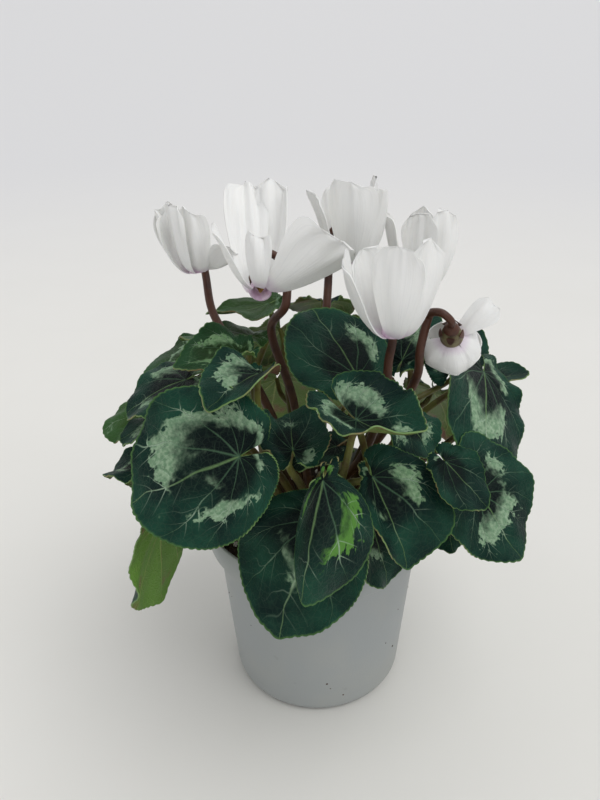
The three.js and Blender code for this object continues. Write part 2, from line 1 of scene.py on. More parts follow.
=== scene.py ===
# %% [markdown]
# # A potted cyclamen
# The plant stands in a plain tapered nursery pot. Its leaves are heart-shaped, dark blue-green and
# marked with a jagged silver band. Its white flowers hang upside down on hooked stalks, with the
# petals swept back upwards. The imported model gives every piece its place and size. This script
# gives each one a finer mesh in the same place, and the finish that the real plant has.

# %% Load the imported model
import random
from math import atan2, cos, exp, hypot, pi, radians, sin, sqrt

import bpy
from mathutils import Matrix, Quaternion, Vector, noise


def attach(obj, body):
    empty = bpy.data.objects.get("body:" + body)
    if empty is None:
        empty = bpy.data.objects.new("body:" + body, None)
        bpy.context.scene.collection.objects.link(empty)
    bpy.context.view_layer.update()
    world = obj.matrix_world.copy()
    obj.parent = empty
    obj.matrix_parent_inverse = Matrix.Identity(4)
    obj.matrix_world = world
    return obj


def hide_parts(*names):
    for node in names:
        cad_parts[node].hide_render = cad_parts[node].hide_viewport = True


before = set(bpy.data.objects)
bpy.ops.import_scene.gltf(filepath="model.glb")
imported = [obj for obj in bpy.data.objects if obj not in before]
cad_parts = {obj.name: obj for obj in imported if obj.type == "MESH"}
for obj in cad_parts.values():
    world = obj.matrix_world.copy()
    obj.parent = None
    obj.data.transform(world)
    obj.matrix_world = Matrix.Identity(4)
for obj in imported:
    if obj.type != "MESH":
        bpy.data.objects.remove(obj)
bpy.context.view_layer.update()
MM = 0.001

# %% [markdown]
# ## The camera
# The photograph looks down on the plant from a little above, with the pot's axis right of its
# centre. The camera stands at that angle, and a small sideways shift frames it in the same way.

# %% The camera
CAMERA_PLACE = (0, -0.3181, 0.3377)
CAMERA_PITCH = 28.5
CAMERA_LENS = 33.75
CAMERA_SHIFT = -0.022

camera_data = bpy.data.cameras.new("camera")
camera_data.lens = CAMERA_LENS
camera_data.shift_x = CAMERA_SHIFT
camera = bpy.data.objects.new("camera", camera_data)
camera.location = CAMERA_PLACE
camera.rotation_euler = (radians(90 - CAMERA_PITCH), 0, 0)
bpy.context.scene.collection.objects.link(camera)
bpy.context.scene.camera = camera
print("camera", CAMERA_PLACE, "looking down", CAMERA_PITCH, "degrees")

# %% [markdown]
# ## Nodes written as formulas
# A material is a net of nodes. A number in it is wrapped here, so that plain arithmetic adds the
# Math nodes that work it out, and a formula can be read as one.

# %% Numbers in a net
def plug(value, socket):
    """Sets a plain value on a socket, or wires one that other nodes work out."""
    value = getattr(value, "socket", value)
    if isinstance(value, bpy.types.NodeSocket):
        socket.id_data.links.new(value, socket)
    else:
        socket.default_value = value


def add_node(tree, kind, inputs=None, **settings):
    made = tree.nodes.new(kind)
    for key, value in settings.items():
        setattr(made, key, value)
    for key, value in (inputs or {}).items():
        plug(value, made.inputs[key])
    return made


def operation(name, swapped=False):
    def work_out(self, *others):
        values = (*others, self) if swapped else (self, *others)
        tree = self.socket.id_data
        made = add_node(tree, "ShaderNodeMath", dict(enumerate(values)), operation=name)
        return Number(made.outputs[0])

    return work_out


class Number:
    def __init__(self, socket):
        self.socket = socket

    __add__ = operation("ADD")
    __sub__ = operation("SUBTRACT")
    __rsub__ = operation("SUBTRACT", swapped=True)
    __mul__ = operation("MULTIPLY")
    __truediv__ = operation("DIVIDE")
    __rtruediv__ = operation("DIVIDE", swapped=True)
    __pow__ = operation("POWER")
    __abs__ = operation("ABSOLUTE")
    __round__ = operation("ROUND")
    sine = operation("SINE")
    cosine = operation("COSINE")
    below = operation("LESS_THAN")
    larger = operation("MAXIMUM")

    def clamped(self):
        """Keeps the number between 0 and 1."""
        self.socket.node.use_clamp = True
        return self

    def ramp(self, low, high):
        """Rises smoothly from 0 where the number is low to 1 where it is high."""
        inputs = {"Value": self, "From Min": low, "From Max": high}
        tree = self.socket.id_data
        made = add_node(tree, "ShaderNodeMapRange", inputs, interpolation_type="SMOOTHSTEP")
        return Number(made.outputs["Result"])


# %% [markdown]
# Colours, noise, groups and materials are shared as well. A group is given by its inputs' names
# and by a rule, which takes them as numbers and gives back the results by name.

# %% Colours, groups and materials
def colour(red, green, blue):
    """A colour as seen on a screen, 0 to 255, turned into the linear one that shaders work with."""
    linear = []
    for value in (red, green, blue):
        value /= 255
        linear.append(value / 12.92 if value <= 0.04045 else ((value + 0.055) / 1.055) ** 2.4)
    return (*linear, 1)


def mix(factor, first, second):
    inputs = {0: factor, 6: first, 7: second}
    return add_node(factor.socket.id_data, "ShaderNodeMix", inputs, data_type="RGBA").outputs[2]


def cloud(tree, place, scale, detail):
    inputs = {"Vector": place, "Scale": scale, "Detail": detail}
    return Number(add_node(tree, "ShaderNodeTexNoise", inputs).outputs["Fac"])


def combined(tree, x, y, z):
    return add_node(tree, "ShaderNodeCombineXYZ", {"X": x, "Y": y, "Z": z}).outputs[0]


def separated(tree, vector):
    parts = add_node(tree, "ShaderNodeSeparateXYZ", {"Vector": vector}).outputs
    return [Number(part) for part in parts]


def own_place(tree):
    return add_node(tree, "ShaderNodeTexCoord").outputs["Object"]


def new_group(name, inputs, rule):
    group = bpy.data.node_groups.new(name, "ShaderNodeTree")
    for socket in inputs:
        group.interface.new_socket(socket, in_out="INPUT", socket_type="NodeSocketFloat")
    given = group.nodes.new("NodeGroupInput").outputs
    results = rule(group, *(Number(given[socket]) for socket in inputs))
    for socket in results:
        group.interface.new_socket(socket, in_out="OUTPUT", socket_type="NodeSocketFloat")
    end = group.nodes.new("NodeGroupOutput").inputs
    for socket, value in results.items():
        plug(value, end[socket])
    return group


def use_group(tree, group, inputs):
    made = add_node(tree, "ShaderNodeGroup", inputs, node_tree=group)
    return {socket.name: Number(socket) for socket in made.outputs}


def new_material(name, **sockets):
    material = bpy.data.materials.new(name)
    material.use_nodes = True
    shader = material.node_tree.nodes["Principled BSDF"]
    for key, value in sockets.items():
        shader.inputs[key.replace("_", " ")].default_value = value
    return material, material.node_tree, shader


def bump(shader, height, distance, strength=1.0):
    inputs = {"Height": height, "Distance": distance, "Strength": strength}
    made = add_node(shader.id_data, "ShaderNodeBump", inputs)
    plug(made.outputs["Normal"], shader.inputs["Normal"])


# %% [markdown]
# ## Unevenness that every surface shares
# Nothing on a plant or a used pot has one even colour. This group reads the object's own
# coordinates and gives a broad cloudiness, a fine grain and scattered specks. Its sizes are in
# metres. The plainest finishes need no more than it and two colours.

# %% The shared unevenness
SPECK_REACH = 0.16


def unevenness_rule(group, broad_size, fine_size):
    place = own_place(group)
    broad = cloud(group, place, 1 / broad_size, 3)
    fine_scale = 1 / fine_size
    speck = add_node(group, "ShaderNodeTexVoronoi", {"Vector": place, "Scale": fine_scale})
    specks = Number(speck.outputs["Distance"]).below(SPECK_REACH)
    return {"Broad": broad, "Fine": cloud(group, place, fine_scale, 4), "Specks": specks}


UNEVENNESS = new_group("unevenness", ["Broad size", "Fine size"], unevenness_rule)


def unevenness(tree, broad_size, fine_size):
    return use_group(tree, UNEVENNESS, {"Broad size": broad_size, "Fine size": fine_size})


def plain_material(name, light, dark, sizes, edges, relief, **sockets):
    """Two colours that run into each other in patches, on a finely rough surface."""
    material, tree, shader = new_material(name, **sockets)
    uneven = unevenness(tree, *sizes)
    plug(mix(uneven["Broad"].ramp(*edges), light, dark), shader.inputs["Base Color"])
    bump(shader, uneven["Fine"], relief)
    return material


# %% [markdown]
# ## The veins of a leaf
# Main veins fan out from the stalk and curl towards the tip. Side veins leave each of them in
# chevrons, and a fine net fills the rest. All of it follows the blade, so it is worked out from
# the blade's own map: how far out a point lies, and at which angle round the stalk.

# %% The vein group
MAIN_VEIN_ANGLE = 0.56
VEIN_CURL = 0.3
VEIN_WOBBLE = 0.3
VEIN_WIDTH = 0.016
VEIN_NARROWING = 0.009
SIDE_VEIN_ROWS = 6.5
SIDE_VEIN_SLANT = 1.1
SIDE_VEIN_WIDTH = 0.055
SIDE_VEIN_SHIFT = 0.37
SIDE_VEIN_WOBBLE = 1.4
SIDE_VEIN_FADE = 1.7
WOBBLE_SCALE = 2.2
NET_SCALE = 20
NET_WIDTH = 0.09


def flat_place(tree, share, angle, seed):
    return combined(tree, share * angle.cosine(), share * angle.sine(), seed)


def vein_rule(group, share, angle, seed):
    wobble = cloud(group, combined(group, share, angle, seed), WOBBLE_SCALE, 2) - 0.5
    turned = wobble * VEIN_WOBBLE + angle * (share**2 * VEIN_CURL + 1)
    steps = turned / MAIN_VEIN_ANGLE
    vein = round(steps)
    off = abs(steps - vein)
    away = off * MAIN_VEIN_ANGLE * share
    main = (1 - away / (share * -VEIN_NARROWING + VEIN_WIDTH)).clamped()
    rows = (away * -SIDE_VEIN_SLANT + share) * SIDE_VEIN_ROWS
    rows = rows + vein * SIDE_VEIN_SHIFT + wobble * SIDE_VEIN_WOBBLE
    side = (1 - abs(rows - round(rows)) / SIDE_VEIN_WIDTH).clamped()
    side = side * (off * -SIDE_VEIN_FADE + 1).clamped()
    cell_inputs = {"Vector": flat_place(group, share, angle, seed), "Scale": NET_SCALE}
    cells = add_node(group, "ShaderNodeTexVoronoi", cell_inputs, feature="DISTANCE_TO_EDGE")
    net = (1 - Number(cells.outputs["Distance"]) / NET_WIDTH).clamped()
    return {"Midrib": main * abs(vein).below(0.5), "Main": main, "Side": side, "Net": net}


VEINS = new_group("leaf veins", ["Share", "Angle", "Seed"], vein_rule)

# %% [markdown]
# ## The silver band
# Halfway out, the leaf is marked with a grey-green band. It fades in from the dark heart of the
# leaf, which is partly the leaf's own dark green and partly painted shade of the cupped blade. Its
# outer edge is jagged, because it follows the small fields between the veins, and thin pale spikes
# run out of it along the veins. It comes and goes round the leaf, and no two leaves are marked
# alike.

# %% The silver band group
BAND_CENTRE = 0.56
BAND_DRIFT = 0.7
BAND_HALF_WIDTH = 0.13
BAND_RAGGED = 4.4
DRIFT_SCALE = 1.6
RAGGED_SCALE = 11
PATCH_SCALE = 1.3
LEAST_SPIKES = 0.3


def band_rule(group, share, angle, seed, main, side, amount):
    flat = flat_place(group, share, angle, seed)
    centre = cloud(group, flat, DRIFT_SCALE, 1) * BAND_DRIFT + (BAND_CENTRE - BAND_DRIFT / 2)
    outward = (share - centre) / BAND_HALF_WIDTH
    ragged = cloud(group, flat, RAGGED_SCALE, 5) * BAND_RAGGED - BAND_RAGGED / 2
    outer_edge = 1 - (side * -0.5 + outward + ragged).ramp(0.75, 1.1)
    inner_edge = (ragged * 0.6 + outward).ramp(-1.7, 0.1)
    level = amount * -0.26 + 0.68
    there = (ragged * 0.05 + cloud(group, flat, PATCH_SCALE, 0)).ramp(level - 0.06, level)
    spikes = (1 - outward.ramp(0.6, 2.6)) * outward.ramp(-1.2, 0.4) * main.larger(side)
    return {
        "Silver": inner_edge * outer_edge * there,
        "Spikes": spikes * there.larger(LEAST_SPIKES),
        # The heart is the leaf's own dark centre, deepened to near black with painted shade of the cupped
        # blade.
        "Heart and shade": 1 - outward.ramp(-2.0, 1.2),
    }


BAND = new_group("silver band", ["Share", "Angle", "Seed", "Main", "Side", "Amount"], band_rule)

# %% [markdown]
# ## Leaf finishes
# A leaf has three: the dark satin upper side with its silver band, the olive underside on which
# the veins stand out, and the thin pale margin. The blade's own map tells share and angle, and
# a few numbers kept on each blade make it differ from its neighbours.

# %% The blade's map
NOTCH_ANGLE = radians(13)
WIDEST_ANGLE = pi - NOTCH_ANGLE


def blade_values(tree):
    share, around, _ = separated(tree, add_node(tree, "ShaderNodeUVMap", uv_map="UVMap").outputs["UV"])
    kept = {}
    for name in ("seed", "silver", "youth", "fresh", "back"):
        attribute = add_node(tree, "ShaderNodeAttribute", attribute_name="leaf_" + name)
        kept[name] = Number(attribute.outputs["Fac"])
    return share, around * (2 * WIDEST_ANGLE) - WIDEST_ANGLE, kept


# %% The upper side
# The near-black heart colour is partly the leaf's own dark green and partly painted shade.
DARK_HEART_AND_SHADE = colour(4, 15, 17)
BLUE_GREEN = colour(28, 70, 54)
DEEP_GREEN = colour(9, 34, 31)
YOUNG_GREEN = colour(84, 128, 40)
SILVER_GREEN = colour(116, 150, 118)
PALE_SILVER = colour(154, 182, 150)
# The strip colour is partly the band's own young green and partly painted glow of light through the blade.
FRESH_GREEN_AND_GLOW = colour(92, 144, 62)
VEIN_GREEN = colour(104, 144, 110)
MIDRIB_GREEN = colour(124, 154, 90)
SPIKE_PALE = colour(176, 200, 176)
MARGIN_GREEN = colour(84, 122, 66)


def upper_side_material():
    material, tree, shader = new_material("leaf_upper_side", IOR=1.42, Specular_IOR_Level=0.13)
    share, angle, kept = blade_values(tree)
    place = {"Share": share, "Angle": angle, "Seed": kept["seed"]}
    veins = use_group(tree, VEINS, place)
    marks = {"Main": veins["Main"], "Side": veins["Side"], "Amount": kept["silver"]}
    band = use_group(tree, BAND, {**place, **marks})
    uneven = unevenness(tree, 0.02, 0.0016)
    field = mix(uneven["Broad"].ramp(0.3, 0.7), DEEP_GREEN, BLUE_GREEN)
    # Partly painted shade: the heart of the blade is darkened to near black.
    field = mix(band["Heart and shade"] * 0.94, field, DARK_HEART_AND_SHADE)
    field = mix(kept["youth"], field, YOUNG_GREEN)
    silver = mix(uneven["Fine"].ramp(0.35, 0.65), SILVER_GREEN, PALE_SILVER)
    # Partly painted glow: on some blades the band turns bright green, as light coming through the thin leaf
    # does.
    silver = mix(kept["fresh"], silver, FRESH_GREEN_AND_GLOW)
    painted = mix(band["Silver"] * 0.9, field, silver)
    lines = (veins["Net"] * 0.05 + veins["Side"] * 0.12 + veins["Main"] * 0.42).clamped()
    painted = mix(lines, painted, VEIN_GREEN)
    painted = mix(veins["Midrib"] * 0.45, painted, MIDRIB_GREEN)
    painted = mix(band["Spikes"] * 0.85, painted, SPIKE_PALE)
    painted = mix(share.ramp(0.97, 1.0) * 0.8, painted, MARGIN_GREEN)
    plug(painted, shader.inputs["Base Color"])
    plug(uneven["Fine"] * 0.25 + 0.28, shader.inputs["Roughness"])
    sunk = veins["Main"] * 0.4 + veins["Side"] * 0.3 + veins["Net"] * 0.16
    bump(shader, uneven["Fine"] * 0.5 - sunk, 0.0008)
    return material


UPPER_SIDE = upper_side_material()

# %% The underside and the margin
FRESH_GREEN = colour(96, 140, 52)
OLIVE = colour(92, 116, 52)
PINK_BROWN = colour(124, 84, 70)
PALE_OLIVE = colour(150, 162, 92)


def underside_material():
    material, tree, shader = new_material("leaf_underside", Roughness=0.5, Specular_IOR_Level=0.3)
    share, angle, kept = blade_values(tree)
    veins = use_group(tree, VEINS, {"Share": share, "Angle": angle, "Seed": kept["seed"]})
    uneven = unevenness(tree, 0.016, 0.0014)
    field = mix(kept["back"].ramp(0, 0.4), FRESH_GREEN, OLIVE)
    flushed = kept["back"] * 0.3 + uneven["Broad"]
    field = mix(flushed.ramp(0.6, 0.8) * share.ramp(0.2, 0.8), field, PINK_BROWN)
    lines = (veins["Net"] * 0.12 + veins["Side"] * 0.4 + veins["Main"] * 0.8).clamped()
    plug(mix(lines, field, PALE_OLIVE), shader.inputs["Base Color"])
    bump(shader, uneven["Fine"] * 0.3 + veins["Net"] * 0.2 + lines, 0.0005, 0.8)
    return material


UNDERSIDE = underside_material()
MARGIN = plain_material(
    "leaf_margin", colour(108, 140, 78), colour(134, 112, 76), (0.012, 0.001), (0.45, 0.7), 0.0001
)

# %% [markdown]
# ## Shaping helpers
# A blade or a petal starts as the grid primitive, whose own map then runs along and across it.
# Each point of the grid is moved to its place by a rule, and Solidify gives the sheet its two
# sides and a rim. Round pieces start as a disc that is extruded ring by ring along a profile.

# %% Helpers for sheets
MERGE_DISTANCE = 0.02


def select_only(*pieces):
    """Selects these pieces, or none, and makes the first one active."""
    if bpy.context.mode != "OBJECT":
        bpy.ops.object.mode_set(mode="OBJECT")
    bpy.ops.object.select_all(action="DESELECT")
    for piece in pieces[::-1]:
        piece.select_set(True)
        bpy.context.view_layer.objects.active = piece


def keep_place_in_mesh(piece):
    select_only(piece)
    bpy.ops.object.transform_apply(location=True, rotation=True, scale=True)


def sheet(name, rows, columns, rule):
    """A grid whose points lie at rule(share along, share across), which is in millimetres."""
    select_only()
    bpy.ops.mesh.primitive_grid_add(x_subdivisions=rows, y_subdivisions=columns, size=1)
    piece = bpy.context.object
    piece.name = name
    for vertex in piece.data.vertices:
        vertex.co = rule(vertex.co.x + 0.5, vertex.co.y + 0.5) * MM
    merge_close(piece)
    return piece


def merge_close(piece):
    select_only(piece)
    bpy.ops.object.mode_set(mode="EDIT")
    bpy.ops.mesh.select_all(action="SELECT")
    bpy.ops.mesh.remove_doubles(threshold=MERGE_DISTANCE * MM)
    bpy.ops.object.mode_set(mode="OBJECT")


def apply_modifier(piece, kind, **settings):
    select_only(piece)
    bpy.ops.object.modifier_add(type=kind)
    modifier = piece.modifiers[-1]
    for key, value in settings.items():
        setattr(modifier, key, value)
    bpy.ops.object.modifier_apply(modifier=modifier.name)


def smooth(piece, degrees):
    select_only(piece)
    bpy.ops.object.shade_smooth_by_angle(angle=radians(degrees))


def set_materials(piece, *materials):
    piece.data.materials.clear()
    for material in materials:
        piece.data.materials.append(material)


def join_pieces(pieces, name):
    select_only(*pieces)
    bpy.ops.object.join()
    joined = bpy.context.object
    joined.name = name
    return joined


def settle(piece, slot, *nodes):
    """Puts the piece's place into its mesh, hangs it under the root and hides the nodes it replaces. slot
    is not used.
    """
    keep_place_in_mesh(piece)
    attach(piece, "root")
    if nodes:
        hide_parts(*nodes)


# %% Helpers for round pieces
def ring_by_ring(name, profile, sides):
    """Extrudes a disc along (radius, height) rings in millimetres, from its first ring on."""
    select_only()
    radius, height = profile[0]
    place = (0, 0, height * MM)
    bpy.ops.mesh.primitive_circle_add(
        vertices=sides, radius=radius * MM, fill_type="NGON", location=place, enter_editmode=True
    )
    for next_radius, next_height in profile[1:]:
        lift = (0, 0, (next_height - height) * MM)
        bpy.ops.mesh.extrude_region_move(TRANSFORM_OT_translate={"value": lift})
        grow = next_radius / radius
        bpy.ops.transform.resize(value=(grow, grow, 1), center_override=(0, 0, 0))
        radius, height = next_radius, next_height
    bpy.ops.mesh.select_all(action="SELECT")
    bpy.ops.mesh.normals_make_consistent(inside=False)
    bpy.ops.object.mode_set(mode="OBJECT")
    piece = bpy.context.object
    piece.name = name
    keep_place_in_mesh(piece)
    return piece


def arc_rings(centre_radius, centre_height, radius, start, end, steps):
    angles = [radians(start + (end - start) * step / steps) for step in range(steps + 1)]
    return [(centre_radius + radius * cos(a), centre_height + radius * sin(a)) for a in angles]


# %% [markdown]
# ## The pot
# A nursery pot is moulded in one go from grey plastic: a tapered wall, a wider collar with a soft
# cove under it, a rounded rim and a rounded foot, with holes in its floor to let water out. The
# disc of its floor is extruded up the outside, over the rim and down the inside.

# %% The pot's shape
POT_HEIGHT = 104
POT_BASE_RADIUS = 46
POT_NECK_RADIUS = 52
POT_COLLAR_RADIUS = 57
POT_RIM_RADIUS = 58.5
POT_COLLAR_START = 88
POT_TAPER_END = 72
POT_WALL = 1.4
POT_FLOOR = 2
POT_BASE_ROUND = 6
POT_SIDES = 144

foot_radius = POT_BASE_RADIUS - POT_BASE_ROUND
taper_radius = POT_NECK_RADIUS - 0.9
outside = [
    *arc_rings(foot_radius, POT_BASE_ROUND, POT_BASE_ROUND, -90, 0, 8),
    (taper_radius, POT_TAPER_END),
    (POT_NECK_RADIUS - 0.1, POT_COLLAR_START - 4),
    (POT_NECK_RADIUS + 0.4, POT_COLLAR_START - 2.4),
    (POT_NECK_RADIUS + 1.6, POT_COLLAR_START - 1.1),
    (POT_COLLAR_RADIUS - 1.5, POT_COLLAR_START - 0.5),
    (POT_COLLAR_RADIUS - 0.5, POT_COLLAR_START),
    (POT_COLLAR_RADIUS, POT_COLLAR_START + 0.8),
]
rim = arc_rings(POT_RIM_RADIUS - POT_WALL / 2, POT_HEIGHT - POT_WALL / 2, POT_WALL / 2, 0, 180, 6)
inside = [
    (POT_COLLAR_RADIUS - POT_WALL, POT_COLLAR_START + 3),
    (POT_NECK_RADIUS - POT_WALL, POT_COLLAR_START),
    (POT_BASE_RADIUS - POT_WALL, POT_FLOOR + POT_BASE_ROUND),
    (foot_radius, POT_FLOOR),
]
pot = ring_by_ring("pot_shell", [*outside, *rim, *inside], POT_SIDES)
print("pot rings", len(outside) + len(rim) + len(inside))

# %% The drain holes
DRAIN_HOLES = 8
DRAIN_RADIUS = 4
DRAIN_CIRCLE = 34
DRILL_LENGTH = 8


def on_circle(angle, radius, height):
    """A place in metres, from an angle and from millimetres."""
    return Vector((radius * cos(angle), radius * sin(angle), height)) * MM


drills = []
for number in range(DRAIN_HOLES):
    place = on_circle(2 * pi * (number + 0.5) / DRAIN_HOLES, DRAIN_CIRCLE, POT_FLOOR / 2)
    select_only()
    bpy.ops.mesh.primitive_cylinder_add(
        vertices=32, radius=DRAIN_RADIUS * MM, depth=DRILL_LENGTH * MM, location=place
    )
    drills.append(bpy.context.object)
drill = join_pieces(drills, "drill")
apply_modifier(pot, "BOOLEAN", operation="DIFFERENCE", object=drill, solver="EXACT")
bpy.data.objects.remove(drill)
smooth(pot, 32)

# %% [markdown]
# The plastic is matt and a little cool. Moulding leaves a fine orange-peel surface, handling leaves
# faint scuffs, and watering leaves a dusty film. Painted shade darkens its foot.

# %% The pot's plastic
def pot_material():
    material, tree, shader = new_material("matt_grey_plastic", Roughness=0.5, IOR=1.48)
    uneven = unevenness(tree, 0.03, 0.0012)
    coarse = unevenness(tree, 0.009, 0.007)
    height = separated(tree, own_place(tree))[2]
    film = (1 - height.ramp(0, 0.05)) * 0.22 + uneven["Broad"].ramp(0.42, 0.7) * 0.35
    base = mix(film, colour(158, 163, 164), colour(170, 172, 167))
    mark = coarse["Specks"] * coarse["Broad"].ramp(0.56, 0.62)
    base = mix(mark * 0.1, base, colour(90, 84, 74))
    # Painted shade: the foot is darkened where the pot meets the floor.
    base = mix((1 - height.ramp(0.0002, 0.0016)) * 0.6, base, colour(70, 70, 68))
    plug(base, shader.inputs["Base Color"])
    plug(uneven["Broad"] * 0.25 + 0.36, shader.inputs["Roughness"])
    bump(shader, uneven["Fine"], 0.00012, 0.5)
    return material


set_materials(pot, pot_material())
settle(pot, "pot_plastic", "pot")

# %% [markdown]
# ## The soil
# Peat fills the pot to a finger's breadth below the rim. Its top is a disc extruded inwards in
# many rings, which noise then raises into crumbs. White perlite and bits of bark lie in it. Each
# is one rough stone or chip, modelled once and copied with its own turn and size.

# %% The soil's shape
SOIL_TOP = 93
SOIL_RINGS = 26
SOIL_SIDES = 160
SOIL_GAP = 0.3
CRUMB_HEIGHT = 1.5
CORM_RADIUS = 20
CORM_BOTTOM = 82

clear = POT_WALL + SOIL_GAP
soil_edge = POT_COLLAR_RADIUS - clear - SOIL_GAP
soil_profile = [
    (foot_radius - SOIL_GAP, POT_FLOOR + SOIL_GAP),
    (POT_BASE_RADIUS - clear, POT_FLOOR + POT_BASE_ROUND + SOIL_GAP),
    (POT_NECK_RADIUS - clear, POT_COLLAR_START),
]
for number in range(SOIL_RINGS):
    share = number / (SOIL_RINGS - 1)
    soil_profile.append((soil_edge + (CORM_RADIUS + 0.6 - soil_edge) * share, SOIL_TOP - 0.3))
soil_profile.append((CORM_RADIUS * 0.93, CORM_BOTTOM + 5))
soil_profile.append((CORM_RADIUS * 0.6, CORM_BOTTOM + 1))
soil = ring_by_ring("soil_fill", soil_profile, SOIL_SIDES)

for vertex in soil.data.vertices:
    reach = hypot(vertex.co.x, vertex.co.y) / MM
    if vertex.co.z > (SOIL_TOP - 1) * MM and reach > CORM_RADIUS + 0.3:
        fade = min(1, (soil_edge - reach) / 2 + 0.25)
        crumbs = noise.fractal(vertex.co * 260, 1.0, 2.0, 4) + 0.8 * noise.noise(vertex.co * 90)
        vertex.co.z += CRUMB_HEIGHT * MM * crumbs * fade
smooth(soil, 60)

# %% The soil's look
def soil_material():
    material, tree, shader = new_material("peat", Roughness=0.95)
    uneven = unevenness(tree, 0.006, 0.0011)
    base = mix(uneven["Broad"].ramp(0.3, 0.7), colour(34, 27, 22), colour(66, 50, 38))
    plug(mix(uneven["Specks"] * 0.5, base, colour(96, 78, 58)), shader.inputs["Base Color"])
    bump(shader, uneven["Fine"], 0.0012)
    return material


set_materials(soil, soil_material())
settle(soil, "soil", "soil")

# %% Perlite and bark
def strewn(name, material, lay, seed, count, detail, rough):
    """One rough ball, copied count times, where lay(copy, draw) turns, sizes and places a copy."""
    draw = random.Random(seed)
    select_only()
    bpy.ops.mesh.primitive_ico_sphere_add(subdivisions=detail, radius=1)
    grain = bpy.context.object
    for vertex in grain.data.vertices:
        vertex.co *= 1 + rough * noise.noise(vertex.co * 1.7 + Vector((seed, 0, 0)))
    copies = []
    for _ in range(count):
        copy = grain.copy()
        copy.data = grain.data.copy()
        bpy.context.scene.collection.objects.link(copy)
        lay(copy, draw)
        copies.append(copy)
    bpy.data.objects.remove(grain)
    piece = join_pieces(copies, name)
    set_materials(piece, material)
    print(name, count)
    return piece


def on_soil(sizes, flatness):
    def lay(copy, draw):
        angle = draw.uniform(0, 2 * pi)
        reach = sqrt(draw.uniform((CORM_RADIUS + 3) ** 2, (soil_edge - 3) ** 2))
        size = draw.uniform(*sizes)
        copy.scale = (size * MM, size * draw.uniform(0.6, 1) * MM, size * flatness * MM)
        copy.rotation_euler = (draw.uniform(-0.5, 0.5), draw.uniform(-0.5, 0.5), angle * 3)
        copy.location = on_circle(angle, reach, SOIL_TOP + 0.7)

    return lay


grain_finish = dict(sizes=(0.003, 0.0006), edges=(0.3, 0.7), relief=0.0004, Roughness=0.85)
perlite = plain_material("perlite", colour(238, 236, 230), colour(206, 202, 192), **grain_finish)
bark = plain_material("bark", colour(92, 66, 44), colour(50, 36, 26), **grain_finish)
rough_ball = dict(detail=2, rough=0.35)
stones = on_soil(sizes=(0.9, 2.1), flatness=0.75)
chips = on_soil(sizes=(1.6, 3.6), flatness=0.32)
perlite_grains = strewn("perlite_grains", perlite, stones, seed=5, count=64, **rough_ball)
bark_chips = strewn("bark_chips", bark, chips, seed=8, count=46, **rough_ball)
for grains in (perlite_grains, bark_chips):
    smooth(grains, 35)
    settle(grains, "soil")

# %% [markdown]
# A few specks of soil have splashed onto the pot's wall. Most of them sit low.

# %% Specks of soil on the pot
SPECK_LOWEST = 8
SPECK_RANGE = 66


def on_wall(copy, draw):
    angle = draw.uniform(0, 2 * pi)
    height = SPECK_LOWEST + SPECK_RANGE * draw.random() ** 1.6
    rise = (height - POT_BASE_ROUND) / (POT_TAPER_END - POT_BASE_ROUND)
    size = draw.uniform(0.3, 0.75)
    copy.scale = (size * 0.5 * MM, size * MM, size * draw.uniform(0.6, 1.2) * MM)
    copy.rotation_euler = (0, 0, angle)
    copy.location = on_circle(angle, POT_BASE_RADIUS + (taper_radius - POT_BASE_RADIUS) * rise, height)


soil_specks = strewn("soil_specks", bark, on_wall, seed=11, count=34, detail=1, rough=0)
settle(soil_specks, "soil")

# %% [markdown]
# ## The leaves, one row each
# A row starts with where the stalk meets the blade and where the midrib ends, in millimetres. The
# rest are shares of the length, and angles in degrees. silver is how much of the band shows,
# fresh how green it is, partly the band's own young green and partly painted glow of light
# through the thin blade, youth how bright and plain the whole blade is, and back how far the
# underside has turned from light green over olive to pink. The places are the imported model's.

# %% The leaf rows
USUAL_LEAF = dict(half_width=0.5, lobe=0.42, skew=0, point=0.1, roll=0, bend=20, fold=6, droop=0.14)
USUAL_LEAF.update(twist=0, wave=1.8, silver=0.5, youth=0, fresh=0, back=0.3)
WAVE_STEP = 75


def row(at, tip, **others):
    return {**USUAL_LEAF, **others, "at": at, "tip": tip}


